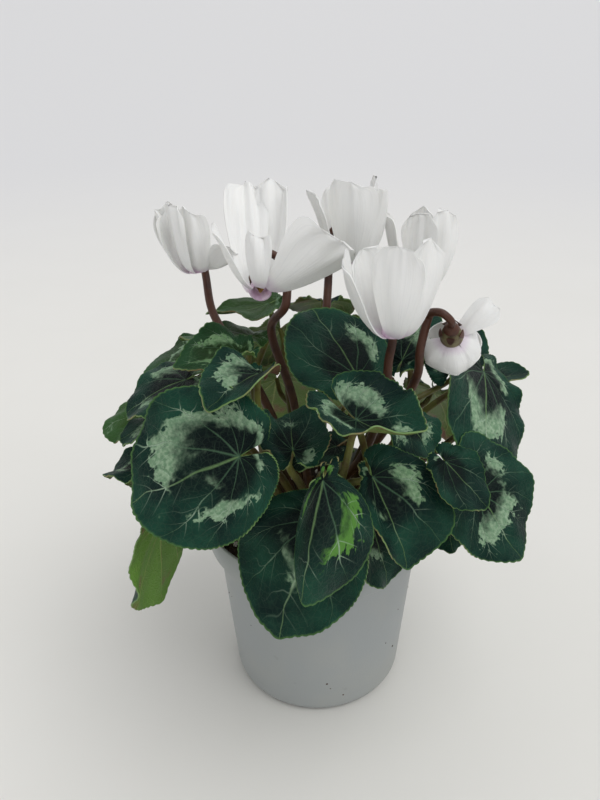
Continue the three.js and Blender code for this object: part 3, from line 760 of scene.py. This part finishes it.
LEAVES = [
    # front, from left to right
    row((-30, -75, 181), (-78, -67, 153), roll=-55, half_width=0.55, lobe=0.34, skew=-0.08, bend=15,
        silver=1),
    row((0, -68, 146), (-17, -84, 95), roll=-30, half_width=0.47, lobe=0.26, point=0.2, silver=0.8),
    row((2, -94, 183), (-6, -108, 134), roll=-10, half_width=0.2, lobe=0.25, skew=0.5, point=0.15,
        fold=-52, droop=0, wave=1, silver=0.9, fresh=1),
    row((22, -67, 166), (38, -82, 128), roll=10, half_width=0.4, lobe=0.34, skew=0.45, point=0.25,
        fold=20, droop=0, fresh=0.2),
    row((22, -54, 136), (32, -66, 106), roll=-10, silver=0.1),
    # right
    row((81, 10, 175), (71, -34, 144), roll=-50, lobe=0.4, bend=30, silver=0.8),
    row((71, -48, 144), (88, -58, 116), roll=20, half_width=0.85, lobe=0.9, skew=0.1, silver=0.9),
    row((52, -62, 170), (69, -71, 153), roll=20, point=0.2, bend=10, silver=0),
    # centre
    row((15, -66, 192), (38, -84, 199), half_width=0.85, lobe=0.9, bend=-50, fold=25, droop=0, silver=1),
    row((17, -26, 191), (-3, 4, 212), half_width=0.56, lobe=0.3, skew=0.1, bend=10, silver=0),
    row((22, 2, 179), (24, 30, 194), roll=-10, half_width=0.35, silver=0.3),
    row((41, 9, 182), (57, 33, 198), roll=-10, half_width=0.34, silver=0.3),
    row((70, 36, 163), (81, 60, 179), silver=0.3),
    row((84, 36, 153), (110, 31, 165), half_width=0.4, via=((50, 20, 112), (82, 28, 136)), silver=0.4),
    # upper left
    row((-24, 24, 205), (-53, 14, 204), bend=-20, twist=20, silver=0, youth=0.3),
    row((-34, -24, 201), (-61, -36, 198), roll=-10, point=0.2, fold=40, twist=-20, wave=2,
        silver=0.8, youth=0.15, fresh=0.4, back=0),
    row((-24, -46, 202), (-42, -74, 200), half_width=0.46, lobe=0.2, point=0.2, bend=25, fold=35,
        wave=2.4, back=1),
    row((-10, -64, 177), (-12, -40, 181), roll=10, half_width=0.7, lobe=0.5, fold=25, wave=2.4, silver=0.1),
    # left
    row((-57, -30, 191), (-86, -30, 175), roll=-10, half_width=0.6, silver=1),
    row((-32, 10, 194), (-66, 14, 190), roll=10, half_width=0.45, silver=0.2, youth=0.3),
    row((-55, 16, 183), (-86, 14, 170), roll=-10, silver=0.3, youth=0.2),
    row((-79, -8, 165), (-103, -8, 151), roll=-10, half_width=0.55, silver=0.9, youth=0.35),
    row((-67, -34, 173), (-88, -34, 163), silver=0.1),
    row((-73, -44, 158), (-94, -40, 150), silver=0.1),
    row((-68, -56, 136), (-74, -54, 86), half_width=0.42, bend=5, silver=0.2, back=0.1),
    # deep between the others
    row((58, -38, 130), (61, -49, 112), half_width=0.45, silver=0.2),
    row((38, -40, 177), (48, -52, 164), half_width=0.7, lobe=0.3, silver=0.8),
    row((8, -44, 166), (-12, -50, 160), half_width=0.55, silver=0.1),
    # round the back, upper ones first
    row((3, 36, 202), (3, 68, 178), half_width=0.38, lobe=0.3),
    row((-20, 52, 180), (-31, 80, 138), half_width=0.48),
    row((30, 56, 178), (42, 84, 136), half_width=0.48),
    row((-58, 38, 172), (-84, 52, 144)),
    row((64, 50, 144), (80, 66, 102), half_width=0.46, lobe=0.3),
    row((24, 74, 138), (30, 94, 90), half_width=0.46),
    row((-24, 76, 138), (-30, 96, 90), half_width=0.46),
    row((-66, 54, 146), (-82, 66, 106)),
    row((-82, 10, 146), (-98, 12, 108)),
    row((84, 10, 136), (100, 12, 98)),
]
for number, leaf in enumerate(LEAVES):
    leaf["wave_start"] = WAVE_STEP * number
print("leaves", len(LEAVES))

# %% [markdown]
# The midrib of a blade is an arc from the stalk's end to the tip. The outline is a heart with
# rounded lobes at its foot. The blade hangs or folds to both sides of the midrib, its edge waves,
# the fields between the main veins are pillowed, and the margin has small blunt teeth.

# %% A leaf's frame and outline
TOOTH_SPACING = 2.1
LOBE_ROUND = radians(28)
LOBE_CUT = 0.3
TIP_ANGLE = radians(16)
FOLD_SOFTNESS = 0.06
EDGE_WAVES = 5
MEAN_RADIUS = 0.55


def leaf_frame(leaf):
    at = Vector(leaf["at"])
    chord = Vector(leaf["tip"]) - at
    bend = radians(leaf["bend"])
    length = chord.length * (bend / 2) / sin(bend / 2)
    straight = chord.normalized()
    level = Vector((0, 0, 1)).cross(straight).normalized()
    upright = straight.cross(level)
    roll = radians(leaf["roll"])
    side = level * cos(roll) + upright * sin(roll)
    along = straight * cos(bend / 2) + straight.cross(side) * sin(bend / 2)
    teeth = round(2 * pi * MEAN_RADIUS * length / TOOTH_SPACING)
    return dict(at=at, along=along, side=side, up=along.cross(side), length=length, bend=bend, teeth=teeth)


def outline_radius(angle, leaf):
    middle = (1 + leaf["lobe"]) / 2
    rounded = (middle + leaf["half_width"]) / 2
    narrow = (middle - leaf["half_width"]) / 2
    tip = leaf["point"] * exp(-abs(angle) / TIP_ANGLE)
    taper = (1 - leaf["lobe"]) / 2 * cos(angle)
    heart = rounded + taper + narrow * cos(2 * angle) + tip
    corner = (abs(angle) - (WIDEST_ANGLE - LOBE_ROUND)) / LOBE_ROUND
    corner = min(1, max(0, corner))
    lopsided = 1 + leaf["skew"] * sin(angle)
    return heart * (1 - LOBE_CUT * corner**2) * lopsided / (1 + leaf["point"])


# %% A point of the blade
TOOTH_DEPTH = 0.8
PILLOW = 0.9
CRUMPLE = 1.3
CRUMPLE_SIZE = 11
EDGE_CURL = 3.6
EDGE_CURLS = 2.4
UNEVEN_EDGE = 0.05
UNEVEN_EDGES = 1.7
RUFFLE = 0.3
RUFFLES = 2.6
FULL_RELIEF_LENGTH = 40


def blade_point(leaf, shape, share, angle):
    length = shape["length"]
    seed = leaf["wave_start"]
    tooth = abs(sin(shape["teeth"] / 2 * angle)) ** 0.7 - 1
    around = Vector((cos(angle), sin(angle), seed))
    uneven = 1 + UNEVEN_EDGE * noise.noise(around * UNEVEN_EDGES) * share
    radius = share * outline_radius(angle, leaf) * length * uneven
    radius += TOOTH_DEPTH * tooth * max(0, share * 8 - 7)
    u = radius * cos(angle)
    v = radius * sin(angle)
    soft = FOLD_SOFTNESS * length
    fold = radians(leaf["fold"])
    start = radians(seed)
    small = min(1, length / FULL_RELIEF_LENGTH)
    waved = leaf["wave"] * share**2 * sin(EDGE_WAVES * angle + start)
    waved += RUFFLE * leaf["wave"] * share**5 * sin(RUFFLES * EDGE_WAVES * angle + 2 * start)
    field = sin(pi * angle * (1 + VEIN_CURL * share**2) / MAIN_VEIN_ANGLE) ** 2
    waved += PILLOW * (field - 0.5) * share * (1.3 - share) * small
    waved += CRUMPLE * share * noise.noise(Vector((u, v, 9 * seed)) / CRUMPLE_SIZE)
    waved += EDGE_CURL * share**5 * noise.noise(around * EDGE_CURLS) * small
    flat_across = v * cos(fold)
    folded = (hypot(v, soft) - soft) * sin(fold)
    flat_up = folded - leaf["droop"] * v * v / length + waved
    turn = radians(leaf["twist"]) * u / length
    across = flat_across * cos(turn) - flat_up * sin(turn)
    up = flat_across * sin(turn) + flat_up * cos(turn)
    curve = shape["bend"] / length
    bent = curve * u
    place = shape["at"] + shape["along"] * (sin(bent) / curve + up * sin(bent))
    place += shape["side"] * across
    return place + shape["up"] * (up * cos(bent) - (1 - cos(bent)) / curve)


# %% The blades
BLADE_ROWS = 16
COLUMNS_PER_TOOTH = 3
BLADE_THICKNESS = 0.55
SEED_STEP = 3.7


def keep_number(piece, name, value):
    attribute = piece.data.attributes.new(name, "FLOAT", "POINT")
    attribute.data.foreach_set("value", [value] * len(piece.data.vertices))


def blade(leaf, number):
    shape = leaf_frame(leaf)

    def rule(out, turned):
        return blade_point(leaf, shape, out, (2 * turned - 1) * WIDEST_ANGLE)

    columns = round(shape["teeth"] * COLUMNS_PER_TOOTH)
    piece = sheet(f"blade_{number:02d}", BLADE_ROWS, columns, rule)
    keep_number(piece, "leaf_seed", number * SEED_STEP)
    for name in ("silver", "youth", "fresh", "back"):
        keep_number(piece, "leaf_" + name, leaf[name])
    set_materials(piece, UPPER_SIDE, UNDERSIDE, MARGIN)
    sides = dict(material_offset=1, material_offset_rim=2)
    apply_modifier(piece, "SOLIDIFY", thickness=BLADE_THICKNESS * MM, offset=0, **sides)
    smooth(piece, 55)
    settle(piece, "leaf", f"leaf_{number:02d}")
    return piece


blades = [blade(leaf, number + 1) for number, leaf in enumerate(LEAVES)]
print("blade faces", sum(len(piece.data.polygons) for piece in blades))

# %% [markdown]
# ## Corm and leaf stalks
# A cyclamen grows from a corm, a flat woody ball half sunk in the soil, and every stalk leaves its
# crown. A stalk is drawn as a curve with a round bevel, thick at the foot and thin at the blade,
# and turned into a mesh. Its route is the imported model's.

# %% A smooth way through given points
def between(points, number, weight):
    """The place on the smooth curve through the points, after point number by that weight."""
    last = len(points) - 1
    first, second = points[number], points[number + 1]
    before = points[number - 1] if number > 0 else first * 2 - second
    after = points[number + 2] if number + 2 <= last else second * 2 - first
    gap = sqrt((second - first).length)
    gap_before = sqrt((first - before).length)
    gap_after = sqrt((after - second).length)
    start = (first - before) / gap_before - (second - before) / (gap_before + gap) + (second - first) / gap
    end = (second - first) / gap - (after - first) / (gap + gap_after) + (after - second) / gap_after
    start, end = start * gap, end * gap
    square, cube = weight**2, weight**3
    steady = first + start * weight
    curved = (second * 3 - first * 3 - start * 2 - end) * square
    return steady + curved + (first * 2 - second * 2 + start + end) * cube


def smooth_way(points, steps):
    places = [between(points, i, j / steps) for i in range(len(points) - 1) for j in range(steps)]
    return places + [points[-1].copy()]


# %% Stalks as bevelled curves
def stalks(name, ways, foot_radius_mm, tip_radius_mm, sides):
    """One object with a tapered round stalk along each way, given from foot to tip."""
    data = bpy.data.curves.new(name, "CURVE")
    data.dimensions = "3D"
    data.bevel_depth = MM
    data.bevel_resolution = sides // 4 - 1
    data.use_fill_caps = True
    for way in ways:
        spline = data.splines.new("POLY")
        spline.points.add(len(way) - 1)
        for number, place in enumerate(way):
            share = number / (len(way) - 1)
            spline.points[number].co = (*(place * MM), 1)
            spline.points[number].radius = foot_radius_mm + (tip_radius_mm - foot_radius_mm) * share
    piece = bpy.data.objects.new(name, data)
    bpy.context.scene.collection.objects.link(piece)
    select_only(piece)
    bpy.ops.object.convert(target="MESH")
    piece = bpy.context.object
    merge_close(piece)
    smooth(piece, 50)
    return piece


# %% The leaf stalks
CROWN_RADIUS = 14
CROWN_TOP = 101
STALK_SUNK = 5
STALK_SPREAD = 0.3
STALK_RISE = 0.5
STALK_ARRIVAL = 9
STALK_STEPS = 8
CAD_THICKNESS = 0.7
LEAF_STALK_FOOT = 2.1
LEAF_STALK_TIP = 1.2


def leaf_stalk_way(leaf, index):
    shape = leaf_frame(leaf)
    bearing = atan2(leaf["at"][1], leaf["at"][0])
    outward = Vector((cos(bearing), sin(bearing), 0))
    foot = outward * (CROWN_RADIUS + index % 3 - 1) + Vector((0, 0, CROWN_TOP - STALK_SUNK))
    crease = max(0, -sin(radians(leaf["fold"]))) * LEAF_STALK_TIP
    end = shape["at"] - shape["up"] * (CAD_THICKNESS / 2 - 0.1 + crease)
    reach = (end - foot).length
    rise = foot + outward * STALK_SPREAD * reach + Vector((0, 0, STALK_RISE * reach))
    middle = [Vector(place) for place in leaf["via"]] if "via" in leaf else [rise]
    return smooth_way([foot, *middle, end - shape["up"] * STALK_ARRIVAL, end], STALK_STEPS)


ways = [leaf_stalk_way(leaf, index) for index, leaf in enumerate(LEAVES)]
leaf_stalks = stalks("leaf_stalks", ways, LEAF_STALK_FOOT, LEAF_STALK_TIP, 12)


def stalk_material(name, low, high, blush, start, end):
    """Skin that goes from one colour to another with height, blotched with a third."""
    material, tree, shader = new_material(name, Roughness=0.42, IOR=1.42)
    uneven = unevenness(tree, 0.008, 0.0009)
    height = separated(tree, own_place(tree))[2]
    base = mix(height.ramp(start, end), low, high)
    base = mix(uneven["Broad"].ramp(0.48, 0.66) * 0.6, base, blush)
    plug(base, shader.inputs["Base Color"])
    plug(uneven["Fine"] * 0.2 + 0.34, shader.inputs["Roughness"])
    bump(shader, uneven["Fine"], 0.00025, 0.6)
    return material


leaf_stalk_skin = stalk_material(
    "leaf_stalk_skin", colour(72, 50, 34), colour(112, 114, 52), colour(84, 54, 38), 0.1, 0.18
)
set_materials(leaf_stalks, leaf_stalk_skin)
settle(leaf_stalks, "stems", "crown_and_leaf_stalks")
print("leaf stalk faces", len(leaf_stalks.data.polygons))

# %% The corm
CORM_SHOULDER = 95
CORM_ROUGHNESS = 0.5

corm_profile = [
    (CORM_RADIUS * 0.55, CORM_BOTTOM + 1.5),
    (CORM_RADIUS * 0.9, CORM_BOTTOM + 5.5),
    (CORM_RADIUS * 0.99, CORM_SHOULDER - 6),
    (CORM_RADIUS * 0.98, CORM_SHOULDER - 2),
    (CORM_RADIUS * 0.93, CORM_SHOULDER + 0.6),
    (CORM_RADIUS * 0.84, CORM_SHOULDER + 3),
    (CROWN_RADIUS, CROWN_TOP - 0.6),
    (CROWN_RADIUS * 0.7, CROWN_TOP),
    (CROWN_RADIUS * 0.4, CROWN_TOP),
    (CROWN_RADIUS * 0.15, CROWN_TOP),
]
corm = ring_by_ring("corm", corm_profile, 96)
apply_modifier(corm, "SUBSURF", levels=1, render_levels=1)
for vertex in corm.data.vertices:
    out = Vector((vertex.co.x, vertex.co.y, 0)).normalized()
    vertex.co += out * MM * CORM_ROUGHNESS * noise.fractal(vertex.co * 180, 1.0, 2.0, 3)
smooth(corm, 60)
corm_skin = stalk_material(
    "corm_skin", colour(58, 42, 32), colour(96, 70, 48), colour(44, 32, 26), 0.09, 0.102
)
set_materials(corm, corm_skin)
settle(corm, "stems", "crown_and_leaf_stalks")

# %% [markdown]
# ## The flowers, one row each
# mouth is the flower's open end, which looks down, and axis the heading and lean of the line that
# its petals rise along. A petal is its side, lean, length, width and bulge. via and foot lead the
# flower stalk from its hook to the crown. The second flower's mouth is tilted to the front and
# lowered a little, so that its opening is seen. The last flower still nods, petals down.

# %% The flower rows
USUAL_BLOOM = dict(nodding=False, mouth_turn=0, mouth_drop=0)

BLOOMS = [
    dict(mouth=(-53, 4, 229), axis=(150, 10), stalk_side=88,
         petals=((190, 4, 31, 18), (148, 3, 31, 18), (235, -4, 31, 17), (285, 0, 30, 16),
                 (342, 60, 15, 22, 0)),
         via=((-48, 1, 211), (-40, -9, 200), (-26, -6, 170)), foot=(-9, 2)),
    dict(mouth=(-24, -20, 228), axis=(90, 40), stalk_side=14, mouth_turn=-32, mouth_drop=0.6,
         petals=((268, 20, 22, 14), (324, 66, 34, 34, 1), (72, 4, 57, 26), (122, 5, 60, 22),
                 (206, 28, 28, 17, 1)),
         via=((-21, -5, 204), (-12, 2, 165)), foot=(-4, -7)),
    dict(mouth=(15, 14, 229), axis=(100, 10), stalk_side=156,
         petals=((212, 15, 36, 22), (268, 2, 38, 26), (326, 6, 37, 22), (24, 4, 36, 20), (104, 4, 36, 20)),
         via=((4, 8, 205), (2, 5, 150)), foot=(2, 8)),
    dict(mouth=(49, 22, 214), axis=(90, 13), stalk_side=138,
         petals=((196, 13, 36, 22), (250, 2, 38, 22), (325, 4, 38, 22), (20, 2, 37, 20), (84, 4, 36, 20)),
         via=((37, 35, 193), (27, 24, 155)), foot=(8, 5)),
    dict(mouth=(30, -44, 218), axis=(90, 12), stalk_side=85,
         petals=((202, 23, 35, 26), (265, 2, 38, 24), (332, 8, 37, 23), (25, 3, 36, 20), (148, 5, 34, 20)),
         via=((30, -33, 203), (29, -30, 182), (20, -22, 145)), foot=(5, -6)),
    dict(mouth=(56, -30, 211), axis=(75, 140), stalk_side=190, nodding=True,
         petals=((300, 106, 15, 14, 0), (350, -12, 22, 26, 7), (60, -12, 22, 26, 7),
                 (125, -12, 22, 26, 7), (262, -12, 22, 26, 7)),
         via=((43, -32, 207), (43, -28, 192), (30, -16, 155)), foot=(10, -2)),
]
BLOOMS = [{**USUAL_BLOOM, **bloom} for bloom in BLOOMS]


def bloom_frame(bloom):
    heading, lean = (radians(value) for value in bloom["axis"])
    hinge = Vector((-sin(heading), cos(heading), 0))
    return Matrix.Translation(Vector(bloom["mouth"])) @ Quaternion(hinge, lean).to_matrix().to_4x4()


def put_in_bloom(piece, bloom):
    home = bloom_frame(bloom)
    home.translation *= MM
    piece.data.transform(home)


# %% [markdown]
# A petal leaves the mouth outwards, turns up within a few millimetres and leans out. It is broadest
# past its middle, wraps round the flower, lies over its neighbour like a blade of a fan, and is
# ruffled, fluted and uneven towards its end. A soft crease runs up its middle.

# %% A petal
MOUTH_RADIUS = 4.8
PETAL_FOOT = 4.5
PETAL_TURN = radians(18)
PETAL_TWIST = radians(10)
PETAL_WRAP = 0.35
PETAL_FULLNESS = 1.18
PETAL_ROOT = 0.9
LIP_LENGTH = 3
LIP_OUT = 2.6
LIP_DOWN = 1.5
PETAL_CURL = 0.1
PETAL_RIPPLE = 5
PETAL_RIPPLES = 1.6
PETAL_FLUTES = 2.6 * PETAL_RIPPLES
PETAL_CREASE = 1.1
PETAL_END_UNEVEN = 0.16
PETAL_BELLY = 3
PETAL_THICKNESS = 0.4
FULL_RIPPLE_LENGTH = 40
NEARLY_END = 0.9995


def petal_centre(share, length, lean, bulge):
    s = share * length
    lip = 1 - exp(-s / LIP_LENGTH)
    leant = s * sin(lean) + bulge * sin(pi * share)
    out = MOUTH_RADIUS - PETAL_ROOT + LIP_OUT * lip + leant + PETAL_CURL * length * share**3
    return Vector((out, 0, s * cos(lean) - LIP_DOWN * lip))


def stray(x, y, z):
    return noise.noise(Vector((x, y, z)))


def petal_point(petal, share, cross, ripple, nodding):
    side, lean, length, width, bulge = (*petal, PETAL_BELLY)[:5]
    share = min(share, NEARLY_END)
    lean = radians(lean)
    rounded = share**0.75 * sqrt(1 - share**6)
    half = PETAL_FOOT / 2 * (1 - share) + width / 2 * PETAL_FULLNESS * rounded
    y = cross * half
    over = 2 * y / width
    length *= 1 + PETAL_END_UNEVEN * stray(1.6 * over, ripple, 0.5) * share**4
    centre = petal_centre(share, length, lean, bulge)
    ahead = (petal_centre(share + 0.01, length, lean, bulge) - centre).normalized()
    level = Vector((0, 1, 0))
    normal = level.cross(ahead).normalized()
    z = -y * y / (2 * (PETAL_WRAP * length + MOUTH_RADIUS))
    ruffled = stray(PETAL_RIPPLES * over, 1.5 * share, ripple)
    fluted = stray(PETAL_FLUTES * over, share, ripple + 7)
    z += PETAL_RIPPLE * share**2 * (ruffled + 0.5 * fluted) * length / FULL_RIPPLE_LENGTH
    z += PETAL_CREASE * sin(pi * share) * exp(-((4 * over) ** 2))
    turn = 0 if nodding else PETAL_TURN + PETAL_TWIST * share
    flat = y * cos(turn) - z * sin(turn)
    up = y * sin(turn) + z * cos(turn)
    return Matrix.Rotation(radians(side), 3, "Z") @ (centre + level * flat + normal * up)


# %% [markdown]
# Petals are thin and pure white, so light comes through them. Fine lengthwise veins show as faint
# grey lines, and the foot of each petal round the mouth is flushed with lilac pink.

# %% The petal's look
VEINS_ALONG_PETAL = (1.5, 26, 1)


def petal_material():
    material, tree, shader = new_material("white_petal", Roughness=0.5, IOR=1.4, Subsurface_Weight=0.2)
    shader.inputs["Subsurface Radius"].default_value = (1.0, 0.9, 0.8)
    shader.inputs["Subsurface Scale"].default_value = 0.002
    chart = add_node(tree, "ShaderNodeUVMap", uv_map="UVMap").outputs["UV"]
    share = separated(tree, chart)[0]
    stretched = {"Vector": chart, "Scale": VEINS_ALONG_PETAL}
    lines = cloud(tree, add_node(tree, "ShaderNodeMapping", stretched).outputs[0], 1.2, 3)
    uneven = unevenness(tree, 0.012, 0.0007)
    base = mix(lines.ramp(0.52, 0.7) * 0.22, colour(246, 246, 244), colour(214, 214, 216))
    base = mix(uneven["Broad"] * 0.12, base, colour(226, 228, 216))
    flush = (1 - share.ramp(0.03, 0.16)) * (lines * 0.6 + 0.1)
    plug(mix(flush, base, colour(206, 170, 206)), shader.inputs["Base Color"])
    bump(shader, uneven["Fine"] * 0.25 + lines, 0.0004, 0.5)
    return material


WHITE_PETAL = petal_material()
inner_finish = dict(sizes=(0.003, 0.0005), edges=(0.35, 0.65), relief=0.0002, IOR=1.4)
LILAC_TUBE = plain_material("lilac_mouth", colour(226, 206, 222), colour(208, 176, 202), **inner_finish)
GREEN_TUBE = plain_material("green_tube", colour(122, 116, 82), colour(98, 84, 62), **inner_finish)
ANTHER = plain_material("anther", colour(176, 140, 66), colour(96, 62, 34), Roughness=0.7, **inner_finish)

# %% The corollas
PETAL_ROWS = 28
PETAL_COLUMNS = 24
TUBE_LENGTH = 6.5
TUBE_PROFILE = [
    (0.8, TUBE_LENGTH),
    (2.8, TUBE_LENGTH - 0.1),
    (MOUTH_RADIUS - 0.9, TUBE_LENGTH - 1.2),
    (MOUTH_RADIUS - 0.4, TUBE_LENGTH - 3),
    (MOUTH_RADIUS - 0.1, 1.2),
    (MOUTH_RADIUS, 0.1),
    (MOUTH_RADIUS - 0.4, -0.55),
    (MOUTH_RADIUS - 0.9, -0.6),
    (MOUTH_RADIUS - 1.3, -0.1),
    (MOUTH_RADIUS - 1.7, 1.6),
    (2.6, TUBE_LENGTH - 2.8),
    (0.8, TUBE_LENGTH - 2.3),
]
ANTHER_LENGTH = TUBE_LENGTH - 2.4
ANTHER_TIP = 0.5
ANTHER_WIDTH = 2.2
RIPPLE_STEP = 2.1


def petal_sheet(petal, number, bloom):
    ripple = RIPPLE_STEP * number + bloom["mouth"][0]

    def rule(share, cross):
        return petal_point(petal, share, 2 * cross - 1, ripple, bloom["nodding"])

    piece = sheet(f"petal_{number}", PETAL_ROWS, PETAL_COLUMNS, rule)
    set_materials(piece, WHITE_PETAL)
    apply_modifier(piece, "SOLIDIFY", thickness=PETAL_THICKNESS * MM, offset=0)
    return piece


def anther_cone():
    select_only()
    middle = (0, 0, (ANTHER_LENGTH / 2 + 0.1) * MM)
    ends = dict(radius1=ANTHER_TIP * MM, radius2=ANTHER_WIDTH * MM, depth=ANTHER_LENGTH * MM)
    bpy.ops.mesh.primitive_cone_add(vertices=10, location=middle, **ends)
    piece = bpy.context.object
    set_materials(piece, ANTHER)
    apply_modifier(piece, "BEVEL", width=0.3 * MM, segments=2)
    return piece


def corolla(bloom, number):
    petals = [petal_sheet(petal, index, bloom) for index, petal in enumerate(bloom["petals"])]
    tube = ring_by_ring("tube", TUBE_PROFILE, 40)
    set_materials(tube, GREEN_TUBE if bloom["nodding"] else LILAC_TUBE)
    turn = pi if bloom["nodding"] else radians(bloom["mouth_turn"])
    drop = Vector((0, 0, -bloom["mouth_drop"] * MM))
    middle = [tube, anther_cone()]
    for part in middle:
        keep_place_in_mesh(part)
        part.data.transform(Matrix.Translation(drop) @ Matrix.Rotation(turn, 4, "X"))
    piece = join_pieces([*petals, *middle], f"corolla_{number}")
    put_in_bloom(piece, bloom)
    smooth(piece, 50)
    settle(piece, "petal", f"bloom_{number}")
    return piece


corollas = [corolla(bloom, number + 1) for number, bloom in enumerate(BLOOMS)]
print("corolla faces", [len(piece.data.polygons) for piece in corollas])

# %% [markdown]
# ## Flower stalks
# Each stalk is fleshy and reddish brown. It comes up from the crown, bends over in a hook behind the
# flower and ends in the calyx, a small cup with five pointed sepals that hug the tube.

# %% The calyx and the hook
CALYX_RADIUS = 3.4
CALYX_LENGTH = 4
HOOK_OUT = 11
HOOK_RISE = 10.5
FLOWER_STALK_FOOT = 2.2
FLOWER_STALK_TIP = 1.5
FOOT_STRAIGHT = 12
STALK_GAP = 0.3
FLOWER_STALK_STEPS = 7
HOOK = [
    (0, TUBE_LENGTH + 0.3 * HOOK_RISE),
    (0, TUBE_LENGTH + 0.75 * HOOK_RISE),
    (0.37 * HOOK_OUT, TUBE_LENGTH + HOOK_RISE),
    (0.8 * HOOK_OUT, TUBE_LENGTH + 0.67 * HOOK_RISE),
    (HOOK_OUT, TUBE_LENGTH + 0.1 * HOOK_RISE),
    (HOOK_OUT, -MOUTH_RADIUS),
]


def flower_stalk_way(bloom):
    home = bloom_frame(bloom)
    side = radians(bloom["stalk_side"])
    rear = -1 if bloom["nodding"] else 1
    hook = HOOK[:-1] if bloom["nodding"] else HOOK
    over = [home @ Vector((out * cos(side), out * sin(side), rear * back)) for out, back in hook]
    foot = Vector((*bloom["foot"], CROWN_TOP + STALK_GAP))
    upright = foot + Vector((0, 0, FOOT_STRAIGHT))
    way = [*over, *(Vector(place) for place in bloom["via"]), upright, foot]
    return smooth_way(way[::-1], FLOWER_STALK_STEPS)


SEPALS = 5
SEPAL_HALF_WIDTH = 1.7
SEPAL_LENGTH = 4.2


def sepal_point(number, share, cross):
    """Hugs the tube from the calyx towards the mouth and comes to a point."""
    half = SEPAL_HALF_WIDTH * (1 - share**1.6)
    out = MOUTH_RADIUS - 0.6 + 0.9 * sin(pi * share * 0.6)
    place = Vector((out, cross * half, TUBE_LENGTH + 0.6 - SEPAL_LENGTH * share))
    return Matrix.Rotation(2 * pi * number / SEPALS, 3, "Z") @ place


def calyx(bloom):
    rings = [
        (0.5, TUBE_LENGTH + 0.3),
        (0.8 * CALYX_RADIUS, TUBE_LENGTH + 0.3),
        (CALYX_RADIUS, TUBE_LENGTH + 0.3 * CALYX_LENGTH),
        (0.86 * CALYX_RADIUS, TUBE_LENGTH + 0.6 * CALYX_LENGTH),
        (FLOWER_STALK_TIP, TUBE_LENGTH + CALYX_LENGTH),
        (0.5, TUBE_LENGTH + CALYX_LENGTH + 0.1),
    ]
    parts = [ring_by_ring("calyx", rings, 24)]
    for number in range(SEPALS):
        sepal = sheet("sepal", 8, 6, lambda share, cross: sepal_point(number, share, 2 * cross - 1))
        apply_modifier(sepal, "SOLIDIFY", thickness=PETAL_THICKNESS * MM, offset=0)
        parts.append(sepal)
    piece = join_pieces(parts, "calyx")
    if bloom["nodding"]:
        piece.data.transform(Matrix.Rotation(pi, 4, "X"))
    put_in_bloom(piece, bloom)
    return piece


# %% The flower stalks
flower_stalk_skin = stalk_material(
    "flower_stalk_skin", colour(94, 66, 42), colour(78, 46, 32), colour(52, 30, 24), 0.13, 0.2
)
for number, bloom in enumerate(BLOOMS):
    way = flower_stalk_way(bloom)
    stalk = stalks("stalk", [way], FLOWER_STALK_FOOT, FLOWER_STALK_TIP, 16)
    piece = join_pieces([stalk, calyx(bloom)], f"stalk_and_calyx_{number + 1}")
    set_materials(piece, flower_stalk_skin)
    smooth(piece, 45)
    settle(piece, "flower_stalk", f"flower_stalk_{number + 1}")
print("flower stalks", len(BLOOMS))

# %% [markdown]
# ## Floor and light
# The plant stands on a plain pale floor that runs far back and turns a little cooler there. The
# light is plain and soft: a pale surround, a broad soft sun from above on the right, which is as
# strong far off as near by, and a weak one from behind that rims the petals. The picture is
# developed without a film curve, so that a colour that is painted is the colour that is seen.

# %% The floor
FLOOR_SIZE = 240
FLOOR_NEAR = 0.3
FLOOR_FAR = 1.6


def floor_material():
    material, tree, shader = new_material("pale_floor", Roughness=0.85, Specular_IOR_Level=0.2)
    uneven = unevenness(tree, 0.12, 0.004)
    length = add_node(tree, "ShaderNodeVectorMath", {0: own_place(tree)}, operation="LENGTH")
    away = Number(length.outputs["Value"]).ramp(FLOOR_NEAR, FLOOR_FAR)
    near = mix(uneven["Broad"], colour(232, 231, 227), colour(227, 226, 221))
    plug(mix(away, near, colour(219, 219, 220)), shader.inputs["Base Color"])
    return material


select_only()
bpy.ops.mesh.primitive_plane_add(size=FLOOR_SIZE)
floor = bpy.context.object
floor.name = "floor"
set_materials(floor, floor_material())

# %% The light
SURROUND_COLOUR = colour(242, 242, 243)
SURROUND_STRENGTH = 0.64


def soft_sun(name, place, softness, strength):
    data = bpy.data.lights.new(name, "SUN")
    data.angle = radians(softness)
    data.energy = strength
    lamp = bpy.data.objects.new(name, data)
    lamp.location = place
    lamp.rotation_euler = (-Vector(place)).to_track_quat("-Z", "Y").to_euler()
    bpy.context.scene.collection.objects.link(lamp)


soft_sun("key", (0.6, -0.5, 1.4), 50, 1.15)
soft_sun("back", (0.3, 1.1, 1.0), 60, 0.45)
world = bpy.data.worlds.new("surround")
world.use_nodes = True
surround = world.node_tree.nodes["Background"].inputs
surround["Color"].default_value = SURROUND_COLOUR
surround["Strength"].default_value = SURROUND_STRENGTH
bpy.context.scene.world = world
bpy.context.scene.view_settings.view_transform = "Standard"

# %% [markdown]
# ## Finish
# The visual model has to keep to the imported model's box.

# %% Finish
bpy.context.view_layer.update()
